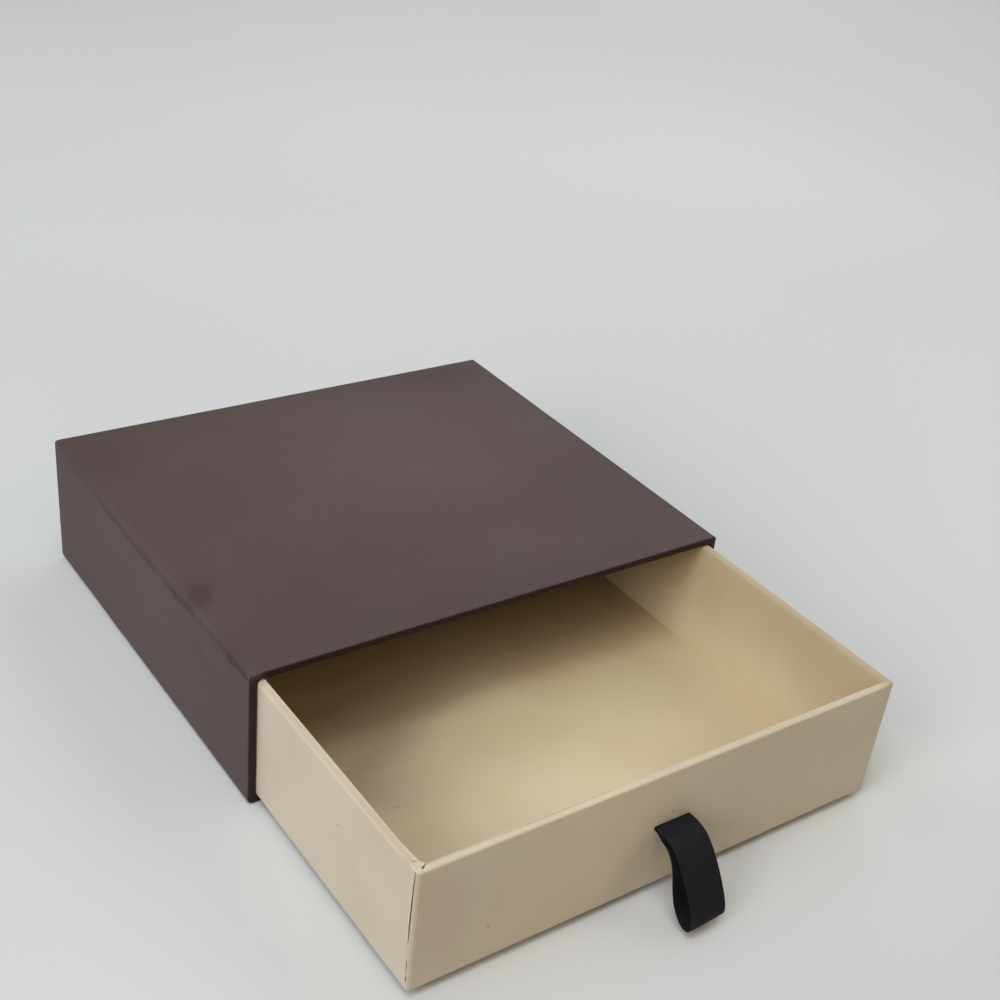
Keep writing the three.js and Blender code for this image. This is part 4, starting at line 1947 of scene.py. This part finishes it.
@dataclass
class RibbonPull:
    """The ribbon: one band from its glued tails through the slit and round the loop.

    The loop's middle line is given as shares of its reach out of the tray's face and of its drop
    below the upper strand, from the strand that leaves the slit on top, round the bottom and back.
    """

    width: float
    thickness: float
    face: float
    slit: float
    hinge: float
    tail: float
    tail_middle: float
    reach: float = 16.8 * MM
    drop: float = 19.45 * MM
    strand: float = 0.35 * MM
    bend: float = 0.35 * MM
    step: float = 0.5 * MM
    length: float = 0.0
    aside: float = 0.45 * MM
    tilt: float = 0.045
    cupped: float = 0.1 * MM
    waved: float = 0.05 * MM
    bead: float = 0.018 * MM
    weave_share: float = 0.85
    bend_inside: float = 0.8 * MM
    bend_outside: float = 1.0 * MM
    loop: tuple[tuple[float, float], ...] = (
        (0.238, 0.005), (0.399, 0.049), (0.542, 0.152), (0.667, 0.275), (0.78, 0.409), (0.881, 0.542),
        (0.964, 0.681), (1.015, 0.799), (1.02, 0.892), (0.972, 0.964), (0.893, 0.985), (0.795, 0.956),
        (0.702, 0.884), (0.625, 0.789), (0.565, 0.661), (0.518, 0.522), (0.473, 0.378), (0.417, 0.262),
        (0.345, 0.172), (0.256, 0.118), (0.167, 0.087),
    )

    @classmethod
    def from_frame(cls) -> "RibbonPull":
        """Reads the ribbon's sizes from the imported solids.

        Returns:
            The ribbon, measured and not built yet.
        """
        low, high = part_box("ribbon_tails")
        loop_low, loop_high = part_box("pull_loop")
        tray_low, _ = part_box("tray_cover")
        thickness = 0.4 * MM
        return cls(
            width=high.x - low.x,
            thickness=thickness,
            face=tray_low.y,
            slit=(low.z + high.z) / 2,
            hinge=tray_low.y - 0.9 * MM,
            tail=(high.z - low.z) / 2,
            tail_middle=high.y - thickness / 2,
        )

    def line(self) -> list[Vector]:
        """Draws the middle line in the YZ plane, from the upper tail's end to the lower tail's.

        Returns:
            The line's points.
        """
        upper, lower = self.slit + self.strand, self.slit - self.strand
        over = [
            Vector((0, self.face - out * self.reach, upper - down * self.drop))
            for out, down in self.loop
        ]
        start, end = Vector((0, self.hinge, upper)), Vector((0, self.hinge, lower))
        loop = smooth_line([start, *over, end], self.step)

        def strand(height: float, way: int) -> list[Vector]:
            """Draws a strand's part inside the hinge: through the slit, round and along its tail.

            Args:
                height: The strand's height in the slit.
                way: Where its tail turns: 1 is up, -1 is down.

            Returns:
                The points, from the hinge inwards.
            """
            corner = Vector((0, self.tail_middle - self.bend, height + way * self.bend))
            turn = [
                corner + self.bend * Vector((0, math.sin(angle), -way * math.cos(angle)))
                for angle in (math.radians(22.5 * i) for i in range(5))
            ]
            rise = abs(self.slit + way * self.tail - turn[-1].z)
            tail = [turn[-1] + Vector((0, 0, way * rise * i / 8)) for i in range(1, 9)]
            run = turn[0].y - self.hinge
            inside = [Vector((0, self.hinge + run * i / 5, height)) for i in range(1, 5)]
            return [*inside, *turn, *tail]

        return [*reversed(strand(upper, 1)), *loop, *strand(lower, -1)]

    def band(self) -> Bench:
        """Draws the band along its line: a short first piece, pulled out step by step.

        Returns:
            The bench with the band on it.
        """
        line = self.line()
        half = self.width / 2
        second = line[1]
        length = (line[0] - second).length
        bench = Bench.plate("ribbon_pull", Vector((-half, 0, 0)), Vector((half, length, 0)))
        with bench.open():
            bench.pick(Kind.VERTS, lambda point: True)
            bpy.ops.transform.rotate(value=-math.pi / 2, orient_axis="X", center_override=(0, 0, 0))
            bpy.ops.transform.translate(value=second)
            bench.edges(lambda a, b: max(abs(a.z - second.z), abs(b.z - second.z)) < TOUCH)
            for here, there in zip(line[1:], line[2:]):
                bench.extrude(there - here)
        self._measure(bench, line)
        return bench

    def _measure(self, bench: Bench, line: list[Vector]) -> None:
        """Lays the length map: how far across and how far along, in metres.

        Args:
            bench: The bench with the band on it.
            line: The band's middle line.
        """
        mesh = bench.piece.data
        layer = mesh.uv_layers.new(name="length")
        lengths = [0.0]
        for here, there in zip(line, line[1:]):
            lengths.append(lengths[-1] + (there - here).length)
        self.length = lengths[-1]
        for loop in mesh.loops:
            place = mesh.vertices[loop.vertex_index].co
            flat = Vector((0, place.y, place.z))
            station = min(range(len(line)), key=lambda i: (line[i] - flat).length_squared)
            layer.data[loop.index].uv = (place.x, lengths[station])

    def give(self, place: Vector, normal: Vector) -> Vector:
        """How the band strays from its line: aside, tilted, a little cupped and a little waved.

        Args:
            place: A point of the sheet.
            normal: The sheet's direction there.

        Returns:
            The point's move.
        """
        across = abs(place.x) / (self.width / 2)
        out = ease(self.face - place.y, 1 * MM, 5 * MM)
        cup = self.cupped * across ** 2 * out
        wave = self.waved * out * ripple(place, 5 * MM, 2.0)
        outside = ease(self.face - place.y, 0.2 * MM, 1.5 * MM)
        swing = Vector((self.aside, 0, place.x * self.tilt * (1 + outside)))
        return normal * (wave - cup) + swing

    def selvedge(self, place: Vector, normal: Vector) -> Vector:
        """The firm bead along both edges of the band."""
        across = abs(place.x - self.aside) / (self.width / 2)
        return normal * (self.bead * ease(across, 0.9, 0.95))

    def build(self, finishes: Finishes) -> list[bpy.types.Object]:
        """Builds the ribbon.

        Args:
            finishes: The materials.

        Returns:
            The ribbon.
        """
        bench = self.band()
        half = self.width / 2
        with bench.open():
            columns = [share * half for share in (0.2, 0.4, 0.6, 0.78, 0.88, 0.93, 0.97)]
            bench.slice(Axis.X, [*(-x for x in reversed(columns)), 0.0, *columns])
        bench.press(self.give).thicken(self.thickness * self.weave_share, offset=0.0)
        bench.outer_count = 0
        bench.press(self.selvedge).smooth(60)
        ribbon = bench.piece
        ribbon.data.materials.append(finishes.satin)
        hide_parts("pull_loop", "ribbon_tails")
        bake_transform(ribbon)
        log.info("%s: %.1f mm of ribbon", ribbon.name, self.length / MM)
        return [ribbon]


@dataclass(frozen=True)
class SoftBox:
    """A square soft light on the box, from a direction in degrees, in watts of each colour."""

    name: str
    azimuth: float
    elevation: float
    watts: tuple[float, float, float]
    size: float = 0.9
    reach: float = 1.8

    def hang(self) -> None:
        """Hangs the light."""
        data = bpy.data.lights.new(self.name, "AREA")
        data.shape = "SQUARE"
        data.size = self.size
        data.energy = max(self.watts)
        data.color = [share / data.energy for share in self.watts]
        lamp = bpy.data.objects.new(self.name, data)
        around, up = math.radians(self.azimuth), math.radians(self.elevation)
        away = Vector((math.cos(around) * math.cos(up), math.sin(around) * math.cos(up), math.sin(up)))
        lamp.location = away * self.reach
        lamp.rotation_mode = "QUATERNION"
        lamp.rotation_quaternion = (-away).to_track_quat("-Z", "Y")
        bpy.context.scene.collection.objects.link(lamp)


@dataclass(frozen=True)
class Studio:
    """A pale floor with painted light and shade across it, soft lights mostly from the left and above,
    and the camera.
    """

    lights: tuple[SoftBox, ...] = (
        SoftBox("window_left", 200, 30, (15.6, 14.8, 14.1)),
        SoftBox("window_high_left", 225, 70, (12.8, 13.0, 12.9)),
        SoftBox("window_straight_left", 180, 50, (0.9, 2.0, 3.3)),
        SoftBox("window_far_left", 135, 50, (5.4, 5.1, 5.2)),
        SoftBox("window_low_far_left", 135, 22, (0.9, 0.8, 1.6)),
        SoftBox("ceiling", 0, 88, (1.3, 1.9, 2.1)),
        SoftBox("room_near", 270, 50, (1.9, 1.1, 0.5)),
        SoftBox("room_near_right", 320, 30, (3.7, 3.2, 2.6)),
        SoftBox("room_right", 0, 50, (4.1, 4.35, 4.4)),
        SoftBox("room_far_right", 45, 50, (2.6, 2.6, 2.8)),
        SoftBox("room_low_far_right", 45, 22, (2.9, 2.9, 2.9)),
        SoftBox("room_far", 90, 22, (1.4, 1.35, 0.7)),
    )
    ambient: float = 0.001
    eye: tuple[float, float, float] = (-197.82 * MM, -311.46 * MM, 252.22 * MM)
    aim: tuple[float, float, float] = (43.33 * MM, -3.78 * MM, 0.0)
    roll: float = math.radians(6.953)
    lens: float = 53.22
    rise: float = 0.075
    floor_size: float = 6.0

    def camera(self) -> None:
        """Places the camera."""
        data = bpy.data.cameras.new("camera")
        camera = bpy.data.objects.new("camera", data)
        bpy.context.scene.collection.objects.link(camera)
        eye = Vector(self.eye)
        looking = (Vector(self.aim) - eye).to_track_quat("-Z", "Y")
        camera.location = eye
        camera.rotation_mode = "QUATERNION"
        camera.rotation_quaternion = looking @ Quaternion((0, 0, 1), self.roll)
        data.lens = self.lens
        data.shift_y = self.rise
        data.clip_start = 10 * MM
        bpy.context.scene.camera = camera

    def floor(self) -> None:
        """Lays the pale floor, with painted light and shade across it."""
        half = self.floor_size / 2
        bench = Bench.plate("studio_floor", Vector((-half, -half, 0)), Vector((half, half, 0)))
        recipe = Recipe("floor_card")
        cloud = recipe.grain(400 * MM, 1)
        across, depth = recipe.put("SeparateXYZ", {0: recipe.place}).outputs[:2]
        colour = recipe.blend(recipe.span(cloud, 0.3, 0.7), srgb(200, 201, 200), srgb(204, 205, 204))
        # Painted light and shade across the floor: lighter towards the right and the back, darker
        # towards the camera.
        colour = recipe.touch(colour, recipe.span(across, -0.05, 0.45), 1.0, (1.12, 1.12, 1.12))
        colour = recipe.touch(colour, recipe.span(depth, -0.26, 0.5), 1.0, (1.1, 1.1, 1.1))
        colour = recipe.touch(colour, recipe.span(depth, -0.2, -0.14, 1, 0), 1.0, (0.92, 0.92, 0.92))
        recipe.surface(colour, 0.8)
        bench.piece.data.materials.append(recipe.material)

    def build(self) -> None:
        """Sets up the studio."""
        scene = bpy.context.scene
        scene.view_settings.view_transform = "Standard"
        world = bpy.data.worlds.new("studio")
        world.use_nodes = True
        background = world.node_tree.nodes["Background"]
        background.inputs["Color"].default_value = (1, 1, 1, 1)
        background.inputs["Strength"].default_value = self.ambient
        scene.world = world
        self.camera()
        self.floor()
        for light in self.lights:
            light.hang()


def main() -> None:
    """Builds the dressed wallet box and its studio."""
    logging.basicConfig(level=logging.INFO, format="%(name)s: %(message)s")
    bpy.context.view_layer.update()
    Studio().build()
    finishes = Finishes()
    for assembly in (Sleeve.from_frame(), Tray.from_frame(), RibbonPull.from_frame()):
        for piece in assembly.build(finishes):
            log.info("built %s", piece.name)


if __name__ == "__main__":
    main()
